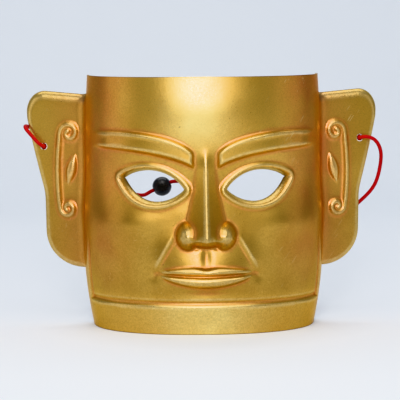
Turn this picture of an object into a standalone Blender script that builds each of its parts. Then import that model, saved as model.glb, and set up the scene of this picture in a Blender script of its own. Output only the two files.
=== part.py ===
"""A full face costume mask: one thin formed shell with side ears, an elastic cord and a bead on it.

The shell is made the way a formed plastic mask is. A flat sheet is cut to its outline, with the
eye openings and the cord holes in it. Then the sheet is wrapped round the plan section of the face
and pressed into its relief. A place on the sheet is (along, height): the distance from the middle
line, measured along the section, and the height above the surface that the mask stands on.
Everything is in metres. +X is to the right as the mask is looked at, -Y is to its front, +Z is up.
"""

import math

import bmesh
import bpy
import numpy as np
from mathutils import Matrix, Vector
from mathutils.geometry import delaunay_2d_cdt
from mathutils.kdtree import KDTree

# The shell's plan section and its outline
SHELL_HEIGHT = 0.200
SHELL_HALF_WIDTH = 0.0948
SHELL_DEPTH = 0.072
SECTION_POWER = 2.3
WALL = 0.0016
TOP_NARROWING = 0.025
CHIN_NARROWING = 0.078
PROFILE_BULGE = 0.05

# The ears: flat flanges that turn out of the shell's back edges
EAR_TOP = 0.935 * SHELL_HEIGHT
EAR_BOTTOM = 0.220 * SHELL_HEIGHT
EAR_REACH = 0.1458
EAR_WAIST = 0.878 * EAR_REACH
EAR_WAIST_HEIGHT = 0.520 * SHELL_HEIGHT
EAR_SHOULDER_HEIGHT = 0.820 * SHELL_HEIGHT
EAR_SWEEP = math.radians(15)
VALLEY_RADIUS = 0.005
EDGE_ROLL = 0.0042
TOP_ROLL = 0.0082
SCROLL_FROM_MIDDLE = EAR_REACH - 0.0303

# The face, on thirds of its height
BROW_LINE = 0.680 * SHELL_HEIGHT
EYE_LINE = 0.585 * SHELL_HEIGHT
NOSE_BASE = 0.345 * SHELL_HEIGHT
MOUTH_LINE = 0.230 * SHELL_HEIGHT
CHIN_BAND = 0.115 * SHELL_HEIGHT
UNIT = SHELL_HEIGHT / 200  # what the small relief is drawn in

EYE_FROM_MIDDLE = 0.042
EYE_HALF_LENGTH = 0.0250
EYE_UPPER = 0.0100
EYE_LOWER = 0.0135
EYE_TILT = math.radians(10)

# The cord, its holes, its bead and its end knots
CORD_DIAMETER = 0.0030
CORD_HOLE_RADIUS = CORD_DIAMETER / 2 + 0.0012
CORD_HOLE_FROM_MIDDLE = EAR_REACH - 0.0171
LEFT_HOLE_HEIGHT = 0.710 * SHELL_HEIGHT
RIGHT_HOLE_HEIGHT = 0.735 * SHELL_HEIGHT
BEAD_DIAMETER = 0.016
BEAD_BORE_RADIUS = CORD_DIAMETER / 2 + 0.0008
KNOT_DIAMETER = 3 * CORD_DIAMETER
KNOT_THICKNESS = 2.2 * CORD_DIAMETER
GAP = 0.0003

# The cord's free run behind the mask: it hangs from the left ear, through the bead, to the right ear
LEFT_RUN = (
    (-0.1380, 0.0300, 0.1550),
    (-0.1200, 0.0405, 0.1345),
    (-0.0960, 0.0475, 0.1175),
    (-0.0770, 0.0500, 0.1075),
    (-0.0610, 0.0515, 0.1005),
    (-0.0480, 0.0530, 0.0980),
)
BEAD_PLACE = Vector((-0.0325, 0.0545, 0.1050))
BEAD_LEAN = Vector((0.90, 0.03, 0.40))
RIGHT_RUN = (
    (-0.0070, 0.0552, 0.1070),
    (0.0110, 0.0545, 0.0970),
    (0.0320, 0.0525, 0.0815),
    (0.0600, 0.0500, 0.0695),
    (0.0890, 0.0460, 0.0690),
    (0.1130, 0.0400, 0.0785),
    (0.1300, 0.0335, 0.0925),
    (0.1415, 0.0270, 0.1065),
)

# How finely the sheet is meshed before it is formed, and how many triangles the shell keeps
SHEET_CELL = 0.0120
SHEET_FINEST_CELL = 0.0015
SHEET_TOLERANCE = 0.00010
OUTLINE_SPACING = 0.0040
RIM_SPACING = 0.0020
RIM_RINGS = (0.0008, 0.0018, 0.0032, 0.0048)
SOFTENING = 0.0005
SHELL_TRIANGLES = 9000


def smooth_step(start, end, value):
    """0 before start, 1 after end, and a smooth rise between them."""
    share = np.clip((value - start) / (end - start), 0, 1)
    return share * share * (3 - 2 * share)


def swell(x, height, centre, radii, rise):
    """A soft mound of that rise, with a centre and two radii."""
    across = ((x - centre[0]) / radii[0]) ** 2
    up = ((height - centre[1]) / radii[1]) ** 2
    return rise * np.exp(-across - up)


def section_table():
    """The right half of the plan section, with the ear that goes on from it: distance along it, x and y."""
    turn = np.linspace(0, math.pi / 2, 900)
    x = SHELL_HALF_WIDTH * np.sin(turn) ** (2 / SECTION_POWER)
    y = -SHELL_DEPTH * np.cos(turn) ** (2 / SECTION_POWER)
    valley = np.linspace(0, math.pi / 2 - EAR_SWEEP, 60)[1:]
    x = np.append(x, SHELL_HALF_WIDTH + VALLEY_RADIUS * (1 - np.cos(valley)))
    y = np.append(y, VALLEY_RADIUS * np.sin(valley))
    flat = np.linspace(0, EAR_REACH - SHELL_HALF_WIDTH + 0.03, 60)[1:]
    x = np.append(x, x[-1] + flat * math.cos(EAR_SWEEP))
    y = np.append(y, y[-1] + flat * math.sin(EAR_SWEEP))
    along = np.append(0, np.cumsum(np.hypot(np.diff(x), np.diff(y))))
    return along, x, y


ALONG, SECTION_X, SECTION_Y = section_table()
SHELL_EDGE = float(np.interp(0, SECTION_Y, ALONG))


def x_of(along):
    return np.sign(along) * np.interp(np.abs(along), ALONG, SECTION_X)


def along_of(x):
    return np.sign(x) * np.interp(np.abs(x), SECTION_X, ALONG)


def width_share(height):
    """How wide the section is at a height, as a share of its full width."""
    top = np.clip((height / SHELL_HEIGHT - 0.6) / 0.4, 0, 1)
    chin = np.clip(1 - height / (0.3 * SHELL_HEIGHT), 0, 1)
    return 1 - TOP_NARROWING * top**2 - CHIN_NARROWING * chin**1.7


def depth_share(height):
    """How deep the section is at a height, as a share of its depth."""
    return 1 + PROFILE_BULGE * (1 - (height / (0.55 * SHELL_HEIGHT) - 1) ** 2)


def plain_surface(along, height):
    """The wrapped sheet with no relief."""
    y = np.interp(np.abs(along), ALONG, SECTION_Y)
    y = np.where(y < 0, y * depth_share(height), y)
    return np.stack([x_of(along) * width_share(height), y, height], axis=-1)


def forward(along):
    """The level direction out of the sheet's front."""
    step = 0.0012
    run = x_of(along + step) - x_of(along - step)
    rise = np.interp(np.abs(along + step), ALONG, SECTION_Y) - np.interp(
        np.abs(along - step), ALONG, SECTION_Y
    )
    length = np.maximum(np.hypot(run, rise), 1e-9)
    return np.stack([rise / length, -run / length, np.zeros_like(run)], axis=-1)


def mound(x, height, centre, radii, rise):
    """A rounded mound of that rise with a crisp foot."""
    across = ((x - centre[0]) / radii[0]) ** 2
    up = ((height - centre[1]) / radii[1]) ** 2
    return rise * np.clip(1 - across - up, 0, None) ** 1.1


def blend(first, second, reach):
    """The higher of two reliefs, with the crease between them filled over a reach."""
    near = np.clip(1 - np.abs(first - second) / reach, 0, None)
    return np.maximum(first, second) + reach / 4 * near**2 * smooth_step(0, reach, np.minimum(first, second))


def path_distance(x, height, path, closed=False):
    """How far each point is from a path of straight pieces."""
    points = np.asarray(path, float)
    ends = np.roll(points, -1, axis=0) if closed else points[1:]
    best = np.full(np.shape(x), np.inf)
    for (ax, az), (bx, bz) in zip(points, ends):
        dx, dz = bx - ax, bz - az
        share = ((x - ax) * dx + (height - az) * dz) / max(dx * dx + dz * dz, 1e-12)
        share = np.clip(share, 0, 1)
        gap = np.hypot(x - ax - share * dx, height - az - share * dz)
        best = np.minimum(best, gap)
    return best


def inside(x, height, loop):
    """Which points lie inside a closed loop."""
    found = np.zeros(np.shape(x), bool)
    for (ax, az), (bx, bz) in zip(loop, np.roll(loop, -1, axis=0)):
        if az == bz:
            continue
        crosses = (az > height) != (bz > height)
        found ^= crosses & (x < ax + (height - az) * (bx - ax) / (bz - az))
    return found


def rounded(corners, spacing, closed=True):
    """A path through corners of (along, height, radius), each rounded by an arc."""
    count = len(corners)
    points = []
    for i, (x, z, radius) in enumerate(corners):
        here = Vector((x, z))
        if radius == 0 or (not closed and i in (0, count - 1)):
            points.append(tuple(here))
            continue
        back = (Vector(corners[i - 1][:2]) - here).normalized()
        on = (Vector(corners[(i + 1) % count][:2]) - here).normalized()
        half = back.angle(on) / 2
        centre = here + (back + on).normalized() * radius / math.sin(half)
        start = here + back * radius / math.tan(half) - centre
        turn = (math.pi - 2 * half) * (1 if back.cross(on) < 0 else -1)
        steps = max(2, round(abs(turn) * radius / spacing))
        for k in range(steps + 1):
            spun = Matrix.Rotation(turn * k / steps, 2) @ start
            points.append(tuple(centre + spun))
    return spaced(points, spacing, closed)


def spaced(points, spacing, closed):
    """The path again with no side longer than the spacing, and its own points kept."""
    path = []
    ends = points[1:] + points[:1] if closed else points[1:]
    for a, b in zip(points, ends):
        pieces = max(1, math.ceil(math.dist(a, b) / spacing - 1e-6))
        path += [tuple(Vector(a).lerp(Vector(b), k / pieces)) for k in range(pieces)]
    return path if closed else path + [points[-1]]


def ear_corners():
    """The right ear's outline on the sheet, from its top down to its bottom."""
    outer = [
        (EAR_REACH + 2.4 * UNIT, EAR_TOP + UNIT, 14 * UNIT),
        (EAR_REACH - 2.2 * UNIT, EAR_SHOULDER_HEIGHT, 30 * UNIT),
        (EAR_WAIST + 0.5 * UNIT, EAR_WAIST_HEIGHT, 45 * UNIT),
        (EAR_WAIST - 0.5 * UNIT, EAR_BOTTOM, 30 * UNIT),
    ]
    return [
        (SHELL_EDGE, EAR_TOP - 3.5 * UNIT, 3 * UNIT),
        *[(float(along_of(x)), z, radius) for x, z, radius in outer],
        (SHELL_EDGE, EAR_BOTTOM, 3 * UNIT),
    ]


def outline(spacing):
    """The sheet's outline, clockwise from the top of its right edge."""
    right = [(SHELL_EDGE, SHELL_HEIGHT, 0), *ear_corners(), (SHELL_EDGE, 0, 0)]
    left = [(-x, z, radius) for x, z, radius in reversed(right)]
    return rounded(right + left, spacing)


def eye_opening(side, spacing):
    """The edge of an eye opening on the sheet: two bows that meet at its corners."""
    steps = round(1.15 * EYE_HALF_LENGTH / spacing)
    share = np.sin(np.linspace(-math.pi / 2, math.pi / 2, steps + 1))
    bow = (1 - share**2) ** 0.85
    lower = np.stack([share, -EYE_LOWER * bow], axis=1)[:-1]
    upper = np.stack([share, EYE_UPPER * bow], axis=1)[:0:-1]
    across, up = (np.concatenate([lower, upper]) * (EYE_HALF_LENGTH, 1)).T
    x = EYE_FROM_MIDDLE + across * math.cos(EYE_TILT) - up * math.sin(EYE_TILT)
    z = EYE_LINE + across * math.sin(EYE_TILT) + up * math.cos(EYE_TILT)
    return list(zip(along_of(side * x), z))


def hole_height(side):
    return LEFT_HOLE_HEIGHT if side < 0 else RIGHT_HOLE_HEIGHT


def cord_hole(side, steps=12):
    """The edge of a cord hole on the sheet."""
    middle = float(along_of(side * CORD_HOLE_FROM_MIDDLE))
    turns = [2 * math.pi * k / steps for k in range(steps)]
    return [
        (
            middle + CORD_HOLE_RADIUS * math.cos(turn),
            hole_height(side) + CORD_HOLE_RADIUS * math.sin(turn),
        )
        for turn in turns
    ]


def brow(x, height):
    """The raised plate of each brow, an arch that hangs over the socket and fades at the temple."""
    inner, outer = 8.5 * UNIT, 90 * UNIT
    share = np.clip((x - inner) / (outer - inner), 0, 1)
    top = BROW_LINE + 3 * UNIT + 22 * UNIT * np.sin(math.pi / 2 * share**0.55) - 3 * UNIT * share**3
    bottom = BROW_LINE - 9 * UNIT + 16 * UNIT * np.sin(math.pi / 2 * share**0.70)
    ends = smooth_step(inner, inner + 3 * UNIT, x) * smooth_step(outer, outer - 16 * UNIT, x)
    plate = smooth_step(top, top - 2.8 * UNIT, height) * smooth_step(bottom, bottom + 4 * UNIT, height)
    lip = np.exp(-(((top - 3.4 * UNIT - height) / (1.6 * UNIT)) ** 2))
    slope = np.clip((top - height) / (top - bottom), 0, 1)
    return ends * ((2.6 * UNIT + 2.4 * UNIT * slope) * plate + 0.8 * UNIT * lip)


def nose(x, height):
    """A wedge with a crisp ridge from the brows to the tip, and a wing on each side of it."""
    tip = NOSE_BASE + 9 * UNIT
    root = BROW_LINE - 4 * UNIT
    share = np.clip((root - height) / (root - tip), 0, 1)
    ridge = 5 * UNIT + 20 * UNIT * share**1.25
    foot = 8 * UNIT + 10 * UNIT * share**1.5
    across = np.sqrt((x / foot) ** 2 + 0.004)
    wedge = ridge * np.clip(1.03 - across, 0, None) ** 1.2
    wedge = wedge * smooth_step(root + 16 * UNIT, root - 10 * UNIT, height)
    wedge = wedge * smooth_step(NOSE_BASE - 2 * UNIT, NOSE_BASE + 6 * UNIT, height)
    wing = mound(x, height, (13.8 * UNIT, tip - 0.5 * UNIT), (10 * UNIT, 11.8 * UNIT), 12.5 * UNIT)
    nostril = swell(x, height, (8.5 * UNIT, NOSE_BASE + 0.5 * UNIT), (3.8 * UNIT, 2.4 * UNIT), -2.2 * UNIT)
    return blend(wedge, wing, 7 * UNIT) + nostril


def mouth(x, height):
    """Two closed lips with crisp borders, a level line between them and a dimple at each end."""
    half = 37.5 * UNIT
    bow = np.clip(1 - (x / half) ** 2, 1e-6, None)
    line = MOUTH_LINE + 1.6 * UNIT * (x / half) ** 2
    upper = 7.6 * UNIT * bow**0.65 - 1.4 * UNIT * np.exp(-((x / (5.5 * UNIT)) ** 2))
    lower = 9.2 * UNIT * bow**0.75
    above = (height - line - upper / 2) / (upper / 2)
    below = (line - lower / 2 - height) / (lower / 2)
    lips = 3 * UNIT * np.clip(1 - above**2, 0, None) ** 0.7
    lips = lips + 3.6 * UNIT * np.clip(1 - below**2, 0, None) ** 0.7
    parting = smooth_step(half + 6 * UNIT, half - 4 * UNIT, x)
    groove = -UNIT * parting * np.exp(-(((height - line) / (1.4 * UNIT)) ** 2))
    dimple = swell(x, height, (half + 2 * UNIT, MOUTH_LINE + UNIT), (5 * UNIT, 6 * UNIT), -1.6 * UNIT)
    return smooth_step(half, half - 10 * UNIT, x) * lips + groove + dimple


def cheek_fold(x, height):
    """The soft fold that runs from a wing of the nose down beside the mouth."""
    share = np.clip((NOSE_BASE + 20 * UNIT - height) / (48 * UNIT), 0, 1)
    line = 21.5 * UNIT + 25.5 * UNIT * np.clip(share - 0.2, 0, 1) ** 0.9
    fades = smooth_step(0, 0.5, share) * smooth_step(1, 0.6, share)
    side = np.exp(-np.clip(x - line, 0, None) / (14 * UNIT))
    return 2.4 * UNIT * fades * smooth_step(-2.2 * UNIT, 3.4 * UNIT, x - line) * side


def eye_rim(along, height):
    """The socket under a brow, and the lid: a bead that turns in at the opening."""
    edge = eye_opening(1, UNIT)
    gap = path_distance(along, height, edge, closed=True)
    gap = np.where(inside(along, height, edge), -gap, gap)
    bead = 2.4 * UNIT * np.exp(-(((gap - 3.4 * UNIT) / (2.4 * UNIT)) ** 2))
    turned = -4.2 * UNIT * np.exp(-np.clip(gap, -3 * UNIT, None) / (0.9 * UNIT))
    return bead + turned


def face_relief(along, height):
    """How far the face stands out of the plain wrapped sheet."""
    along = np.abs(along)
    x = x_of(along)
    lift = brow(x, height) + nose(x, height) + mouth(x, height) + cheek_fold(x, height)
    near = (np.abs(x - EYE_FROM_MIDDLE) < 45 * UNIT) & (np.abs(height - EYE_LINE) < 36 * UNIT)
    lift[near] += eye_rim(along[near], height[near])
    lift += swell(x, height, (41 * UNIT, EYE_LINE + 2 * UNIT), (31 * UNIT, 18 * UNIT), -7 * UNIT)
    lift += swell(x, height, (65 * UNIT, 86 * UNIT), (22 * UNIT, 17 * UNIT), 5.5 * UNIT)
    lift += swell(x, height, (62 * UNIT, 50 * UNIT), (18 * UNIT, 20 * UNIT), -3 * UNIT)
    lift += swell(x, height, (80 * UNIT, 138 * UNIT), (16 * UNIT, 22 * UNIT), -1.5 * UNIT)
    lift += swell(x, height, (0.0, MOUTH_LINE), (38 * UNIT, 21 * UNIT), 6 * UNIT)
    lift += swell(x, height, (0.0, MOUTH_LINE - 13.5 * UNIT), (20 * UNIT, 4 * UNIT), -2 * UNIT)
    lift += swell(x, height, (0.0, 174 * UNIT), (50 * UNIT, 20 * UNIT), 2.5 * UNIT)
    lift += swell(x, height, (0.0, NOSE_BASE - 9 * UNIT), (3.5 * UNIT, 8 * UNIT), -1.2 * UNIT)
    return lift


def band_relief(along, height):
    """The plain band under the face, with a strip that goes on up the shell's sides."""
    along = np.abs(along)
    gap = np.minimum(height - CHIN_BAND, SHELL_EDGE - 22 * UNIT - along)
    step = 1.4 * UNIT * smooth_step(0.8 * UNIT, -1.2 * UNIT, gap)
    groove = -1.2 * UNIT * np.exp(-(((gap - 1.6 * UNIT) / (1.5 * UNIT)) ** 2))
    fades = smooth_step(SHELL_EDGE - UNIT, SHELL_EDGE - 6 * UNIT, along)
    return (step + groove) * fades * smooth_step(80 * UNIT, 45 * UNIT, height)


def ear_relief(along, height):
    """The rolled edge of an ear, and the bead of a scroll on its flat."""
    along = np.abs(along)
    lift = np.zeros_like(along)
    on = along > SHELL_EDGE - 2 * UNIT
    edge = rounded(ear_corners(), 2 * UNIT, closed=False)
    gap = path_distance(along[on], height[on], edge)
    loop = [(SHELL_EDGE - 30 * UNIT, EAR_TOP - 3.5 * UNIT), *edge, (SHELL_EDGE - 30 * UNIT, EAR_BOTTOM)]
    gap = np.where(inside(along[on], height[on], loop), gap, -gap)
    high = smooth_step(EAR_TOP - 24 * UNIT, EAR_TOP - 9 * UNIT, height[on])
    reach = EDGE_ROLL + (TOP_ROLL - EDGE_ROLL) * high
    share = np.clip(1 - (gap + 0.2 * UNIT) / reach, 0, 0.99)
    roll = -reach * (1 - np.sqrt(1 - share**2)) + np.minimum(gap, 0) * 2
    lift[on] = roll * smooth_step(SHELL_EDGE + UNIT, SHELL_EDGE + 8 * UNIT, along[on])
    near = on & (height > 70 * UNIT) & (height < 175 * UNIT)
    gap = path_distance(along[near], height[near], scroll())
    lift[near] += 2.4 * UNIT * np.exp(-((gap / (2.2 * UNIT)) ** 2))
    lift[near] += leaf(along[near], height[near])
    return lift


def spiral(centre, outer, turns, spin):
    """A curl that starts level with its centre, on its far side, and winds in to a quarter of its radius."""
    shares = np.linspace(0, 1, round(16 * turns) + 1)
    radii = outer * (1 - 0.75 * shares)
    angles = spin * 2 * math.pi * turns * shares
    return list(zip(centre[0] + radii * np.cos(angles), centre[1] + radii * np.sin(angles)))


def scroll():
    """The middle of the right ear's scroll: a long bowed bead with a curl at each end."""
    edge = float(along_of(SCROLL_FROM_MIDDLE))
    top = spiral((edge - 8 * UNIT, 153 * UNIT), 8 * UNIT, 1.15, 1)
    low = spiral((edge - 7 * UNIT, 92 * UNIT), 6.5 * UNIT, 1.15, -1)
    bow = [
        (edge + 1.6 * UNIT * math.sin(math.pi * k / 8), (153 - 61 * k / 8) * UNIT)
        for k in range(1, 8)
    ]
    return [*reversed(top), *bow, *low]


def leaf(along, height):
    """A pointed leaf that leans inside the scroll."""
    lean = math.radians(14)
    across, up = along - float(along_of(SCROLL_FROM_MIDDLE)) + 9.8 * UNIT, height - 123.5 * UNIT
    tall = (up * math.cos(lean) - across * math.sin(lean)) / (13.5 * UNIT)
    wide = (across * math.cos(lean) + up * math.sin(lean)) / (4.6 * UNIT)
    room = np.clip(1 - tall**2, 0, None) ** 1.2
    return 2.6 * UNIT * np.clip(room - wide**2 / np.maximum(room, 0.05), 0, None) ** 0.8


def relief(along, height):
    return (
        face_relief(along, height)
        + band_relief(along, height)
        + ear_relief(along, height)
    )


def surface(along, height):
    """The front of the finished shell, whose relief is softened a little, as a formed sheet's is."""
    along, height = np.asarray(along, float), np.asarray(height, float)
    lift = relief(along, height) / 3
    for across, up in ((-1, -1), (-1, 1), (1, -1), (1, 1)):
        lift = lift + relief(along + across * SOFTENING, height + up * SOFTENING) / 6
    return plain_surface(along, height) + lift[..., None] * forward(along)


def outward(along, height):
    """The shell's outward normal, smoothed over the reach of its small relief."""
    reach = 0.0024
    across = surface(along + reach, height) - surface(along - reach, height)
    up = surface(along, height + reach) - surface(along, height - reach)
    normal = np.cross(across, up)
    level = smooth_step(0, 0.006, np.minimum(height, SHELL_HEIGHT - height))
    normal[..., 2] *= level
    return normal / np.linalg.norm(normal, axis=-1, keepdims=True)


def cell_corners(cells, size):
    """Nine places on each square cell: its corners, the middles of its sides, and its middle."""
    steps = np.array([(i, j) for i in (0, 0.5, 1) for j in (0, 0.5, 1)]) * size
    return cells[:, None, :] + steps[None]


def graded_points():
    """Points over the sheet, closest where the surface bends most."""
    columns = math.ceil(ALONG[-1] / SHEET_CELL)
    rows = math.ceil(SHELL_HEIGHT / SHEET_CELL)
    cells = np.array([(i, j) for i in range(-columns, columns) for j in range(rows)]) * SHEET_CELL
    size = SHEET_CELL
    kept = {}
    while len(cells):
        places = cell_corners(cells, size)
        formed = surface(places[..., 0], places[..., 1])
        off = [
            np.linalg.norm(formed[:, m] - (formed[:, a] + formed[:, b]) / 2, axis=1)
            for a, m, b in ((0, 1, 2), (6, 7, 8), (0, 3, 6), (2, 5, 8), (0, 4, 8), (2, 4, 6))
        ]
        split = (np.max(off, axis=0) > SHEET_TOLERANCE) & (size > SHEET_FINEST_CELL)
        for corner in places[~split][:, (0, 2, 6, 8)].reshape(-1, 2):
            kept.setdefault(tuple(np.round(corner, 6)), size)
        quarters = [cells[split] + np.array(step) * size / 2 for step in ((0, 0), (1, 0), (0, 1), (1, 1))]
        cells = np.concatenate(quarters)
        size /= 2
    return kept


def rim_points(loop, closed, distance):
    """Points beside a loop, at a distance to its left."""
    points = np.array(loop)
    if closed:
        run = np.roll(points, -1, axis=0) - np.roll(points, 1, axis=0)
    else:
        run = np.gradient(points, axis=0)
    run /= np.maximum(np.linalg.norm(run, axis=1, keepdims=True), 1e-9)
    return points + distance * np.stack([-run[:, 1], run[:, 0]], axis=1)


def cut_sheet():
    """The flat sheet as points and triangles, cut along its outline, eye openings and cord holes."""
    loops = [outline(OUTLINE_SPACING)]
    loops += [eye_opening(side, RIM_SPACING) for side in (-1, 1)]
    loops += [cord_hole(side) for side in (-1, 1)]
    places = [np.array(loop) for loop in loops]
    edges, start = [], 0
    for loop in loops:
        edges += [(start + k, start + (k + 1) % len(loop)) for k in range(len(loop))]
        start += len(loop)
    rings = []
    ear = rounded(ear_corners(), RIM_SPACING, closed=False)[2:-2]
    for distance in RIM_RINGS:
        rings.append(rim_points(ear, False, -distance))
        rings.append(rings[-1] * (-1, 1))
        rings += [rim_points(loops[k], True, -distance * k_side) for k, k_side in ((1, -1), (2, 1))]
    bend = VALLEY_RADIUS * (math.pi / 2 - EAR_SWEEP)
    rows = np.linspace(0, SHELL_HEIGHT, round(SHELL_HEIGHT / OUTLINE_SPACING) + 1)
    for along in np.linspace(SHELL_EDGE, SHELL_EDGE + bend, 4):
        rings += [np.stack([np.full_like(rows, side * along), rows], axis=1) for side in (-1, 1)]
    return triangulated(np.concatenate(places), edges, loops, np.concatenate(rings))


def on_sheet(points, loops):
    """Which points lie on the sheet: inside its outline and outside its holes."""
    found = inside(points[:, 0], points[:, 1], loops[0])
    for hole in loops[1:]:
        found &= ~inside(points[:, 0], points[:, 1], hole)
    return found


def triangulated(edge_points, edges, loops, rings):
    """A triangle mesh of the sheet through its edge points, its rim rings and its graded points."""
    graded = graded_points()
    candidates = [(tuple(p), RIM_SPACING) for p in rings] + list(graded.items())
    flags = on_sheet(np.array([p for p, _ in candidates]), loops)
    candidates = [c for c, flag in zip(candidates, flags) if flag]
    taken = KDTree(len(edge_points) + len(rings))
    chosen = [tuple(p) for p in edge_points]
    for i, p in enumerate(chosen):
        taken.insert((*p, 0), i)
    taken.balance()
    ring_count = int(flags[: len(rings)].sum())
    ring_tree = KDTree(max(1, ring_count))
    for i, (p, _) in enumerate(candidates[:ring_count]):
        ring_tree.insert((*p, 0), i)
    ring_tree.balance()
    for i, (p, size) in enumerate(candidates):
        if taken.find((*p, 0))[2] < 0.42 * min(size, RIM_SPACING):
            continue
        if i >= ring_count and ring_tree.find((*p, 0))[2] < 0.5 * size:
            continue
        chosen.append(p)
    made = delaunay_2d_cdt([Vector(p) for p in chosen], edges, [], 0, 1e-7)
    points = np.array([tuple(p) for p in made[0]])
    faces = np.array([f for f in made[2] if len(f) == 3])
    faces = faces[on_sheet(points[faces].mean(axis=1), loops)]
    return points, faces


def material(name, colour, roughness, metallic=0.0):
    """A plain finish for one sub-part."""
    made = bpy.data.materials.new(name)
    made.use_nodes = True
    shader = made.node_tree.nodes["Principled BSDF"]
    shader.inputs["Base Color"].default_value = (*colour, 1)
    shader.inputs["Roughness"].default_value = roughness
    shader.inputs["Metallic"].default_value = metallic
    return made


def make_shell(collection):
    """The mask's shell: the cut sheet, given its wall, then wrapped and pressed."""
    points, faces = cut_sheet()
    flat = bpy.data.meshes.new("cut_sheet")
    flat.from_pydata([(x, 0, z) for x, z in points], [], faces.tolist())
    level = bmesh.new()
    level.from_mesh(flat)
    bmesh.ops.recalc_face_normals(level, faces=level.faces)
    if level.faces[:][0].normal.y > 0:
        bmesh.ops.reverse_faces(level, faces=level.faces)
    level.to_mesh(flat)
    level.free()
    sheet = bpy.data.objects.new("sheet", flat)
    collection.objects.link(sheet)
    wall = sheet.modifiers.new("wall", "SOLIDIFY")
    wall.thickness = WALL
    wall.offset = -1
    formed = evaluated_mesh(sheet, "formed")
    form(formed)
    sheet.modifiers.clear()
    sheet.data = formed
    thinned = sheet.modifiers.new("fewer_triangles", "DECIMATE")
    thinned.ratio = min(1, SHELL_TRIANGLES / sum(len(face.vertices) - 2 for face in formed.polygons))
    shell = evaluated_mesh(sheet, "mask_shell")
    bpy.data.objects.remove(sheet)
    level_edges(shell)
    shell.materials.append(material("gold_paint", (0.78, 0.50, 0.16), 0.34, 0.85))
    shell.shade_smooth()
    shell.set_sharp_from_angle(angle=math.radians(50))
    mask = bpy.data.objects.new("mask_shell", shell)
    collection.objects.link(mask)
    return mask


def level_edges(mesh):
    """Sets the shell's lower and top edges exactly level."""
    for vertex in mesh.vertices:
        for level in (0, SHELL_HEIGHT):
            if abs(vertex.co.z - level) < 0.0002:
                vertex.co.z = level


def evaluated_mesh(obj, name):
    """The object's mesh with its modifiers applied."""
    graph = bpy.context.evaluated_depsgraph_get()
    made = bpy.data.meshes.new_from_object(obj.evaluated_get(graph))
    made.name = name
    return made


def form(mesh):
    """Wraps a flat walled sheet round the face and presses it into its relief."""
    flat = np.zeros(len(mesh.vertices) * 3, np.float32)
    mesh.vertices.foreach_get("co", flat)
    along, behind, height = flat.reshape(-1, 3).astype(float).T
    height = np.clip(np.where(np.abs(height) < 1e-6, 0, height), 0, None)
    formed = surface(along, height) - behind[:, None] * outward(along, height)
    mesh.vertices.foreach_set("co", formed.astype(np.float32).ravel())
    mesh.update()


def ear_place(side, from_middle, height, off):
    """A place beside an ear: how far from the middle, how high, and how far in front of its flat."""
    along = np.array([float(along_of(side * from_middle))])
    flat = plain_surface(along, np.array([height]))[0]
    return Vector(flat) + off * Vector(forward(along)[0])


def cord_route():
    """The cord's own points, from the back of the left ear's wall to the back of the right's."""
    left, right = LEFT_HOLE_HEIGHT, RIGHT_HOLE_HEIGHT
    start = [
        ear_place(-1, CORD_HOLE_FROM_MIDDLE, left, -WALL),
        ear_place(-1, CORD_HOLE_FROM_MIDDLE, left, 0.0006),
        ear_place(-1, CORD_HOLE_FROM_MIDDLE + 0.0028, left + 0.0028, 0.0044),
        ear_place(-1, CORD_HOLE_FROM_MIDDLE + 0.0085, left + 0.0088, 0.0046),
        ear_place(-1, CORD_HOLE_FROM_MIDDLE + 0.0140, left + 0.0140, 0.0020),
        ear_place(-1, CORD_HOLE_FROM_MIDDLE + 0.0166, left + 0.0160, -0.0046),
    ]
    lean = BEAD_LEAN.normalized() * BEAD_DIAMETER * 0.6
    bead = [BEAD_PLACE - lean, BEAD_PLACE, BEAD_PLACE + lean]
    end = [
        ear_place(1, CORD_HOLE_FROM_MIDDLE + 0.0182, right - 0.0240, -0.0040),
        ear_place(1, CORD_HOLE_FROM_MIDDLE + 0.0168, right - 0.0110, 0.0010),
        ear_place(1, CORD_HOLE_FROM_MIDDLE + 0.0110, right - 0.0022, 0.0046),
        ear_place(1, CORD_HOLE_FROM_MIDDLE + 0.0040, right + 0.0008, 0.0050),
        ear_place(1, CORD_HOLE_FROM_MIDDLE, right, 0.0006),
        ear_place(1, CORD_HOLE_FROM_MIDDLE, right, -WALL),
    ]
    return [*start, *map(Vector, LEFT_RUN), *bead, *map(Vector, RIGHT_RUN), *end]


def smooth_path(points, steps=24):
    """A smooth curve through the points, whose pace follows the distance between them."""
    ends = [2 * points[0] - points[1], *points, 2 * points[-1] - points[-2]]
    path = []
    for a, b, c, d in zip(ends, ends[1:], ends[2:], ends[3:]):
        t1 = math.sqrt((b - a).length)
        t2 = t1 + math.sqrt((c - b).length)
        t3 = t2 + math.sqrt((d - c).length)
        for k in range(steps):
            t = t1 + (t2 - t1) * k / steps
            ab, bc, cd = a.lerp(b, t / t1), b.lerp(c, (t - t1) / (t2 - t1)), c.lerp(d, (t - t2) / (t3 - t2))
            abc, bcd = ab.lerp(bc, t / t2), bc.lerp(cd, (t - t1) / (t3 - t1))
            path.append(abc.lerp(bcd, (t - t1) / (t2 - t1)))
    return path + [points[-1]]


def paced(path, near_ends, between, reach):
    """The same path with a point at each pace, closer within a reach of its ends."""
    steps = [(b - a).length for a, b in zip(path, path[1:])]
    run = np.append(0, np.cumsum(steps))
    places = [0.0]
    while places[-1] < run[-1]:
        near = min(places[-1], run[-1] - places[-1]) < reach
        places.append(places[-1] + (near_ends if near else between))
    places = np.array(places) * run[-1] / places[-1]
    return [Vector([np.interp(p, run, [v[i] for v in path]) for i in range(3)]) for p in places]


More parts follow.
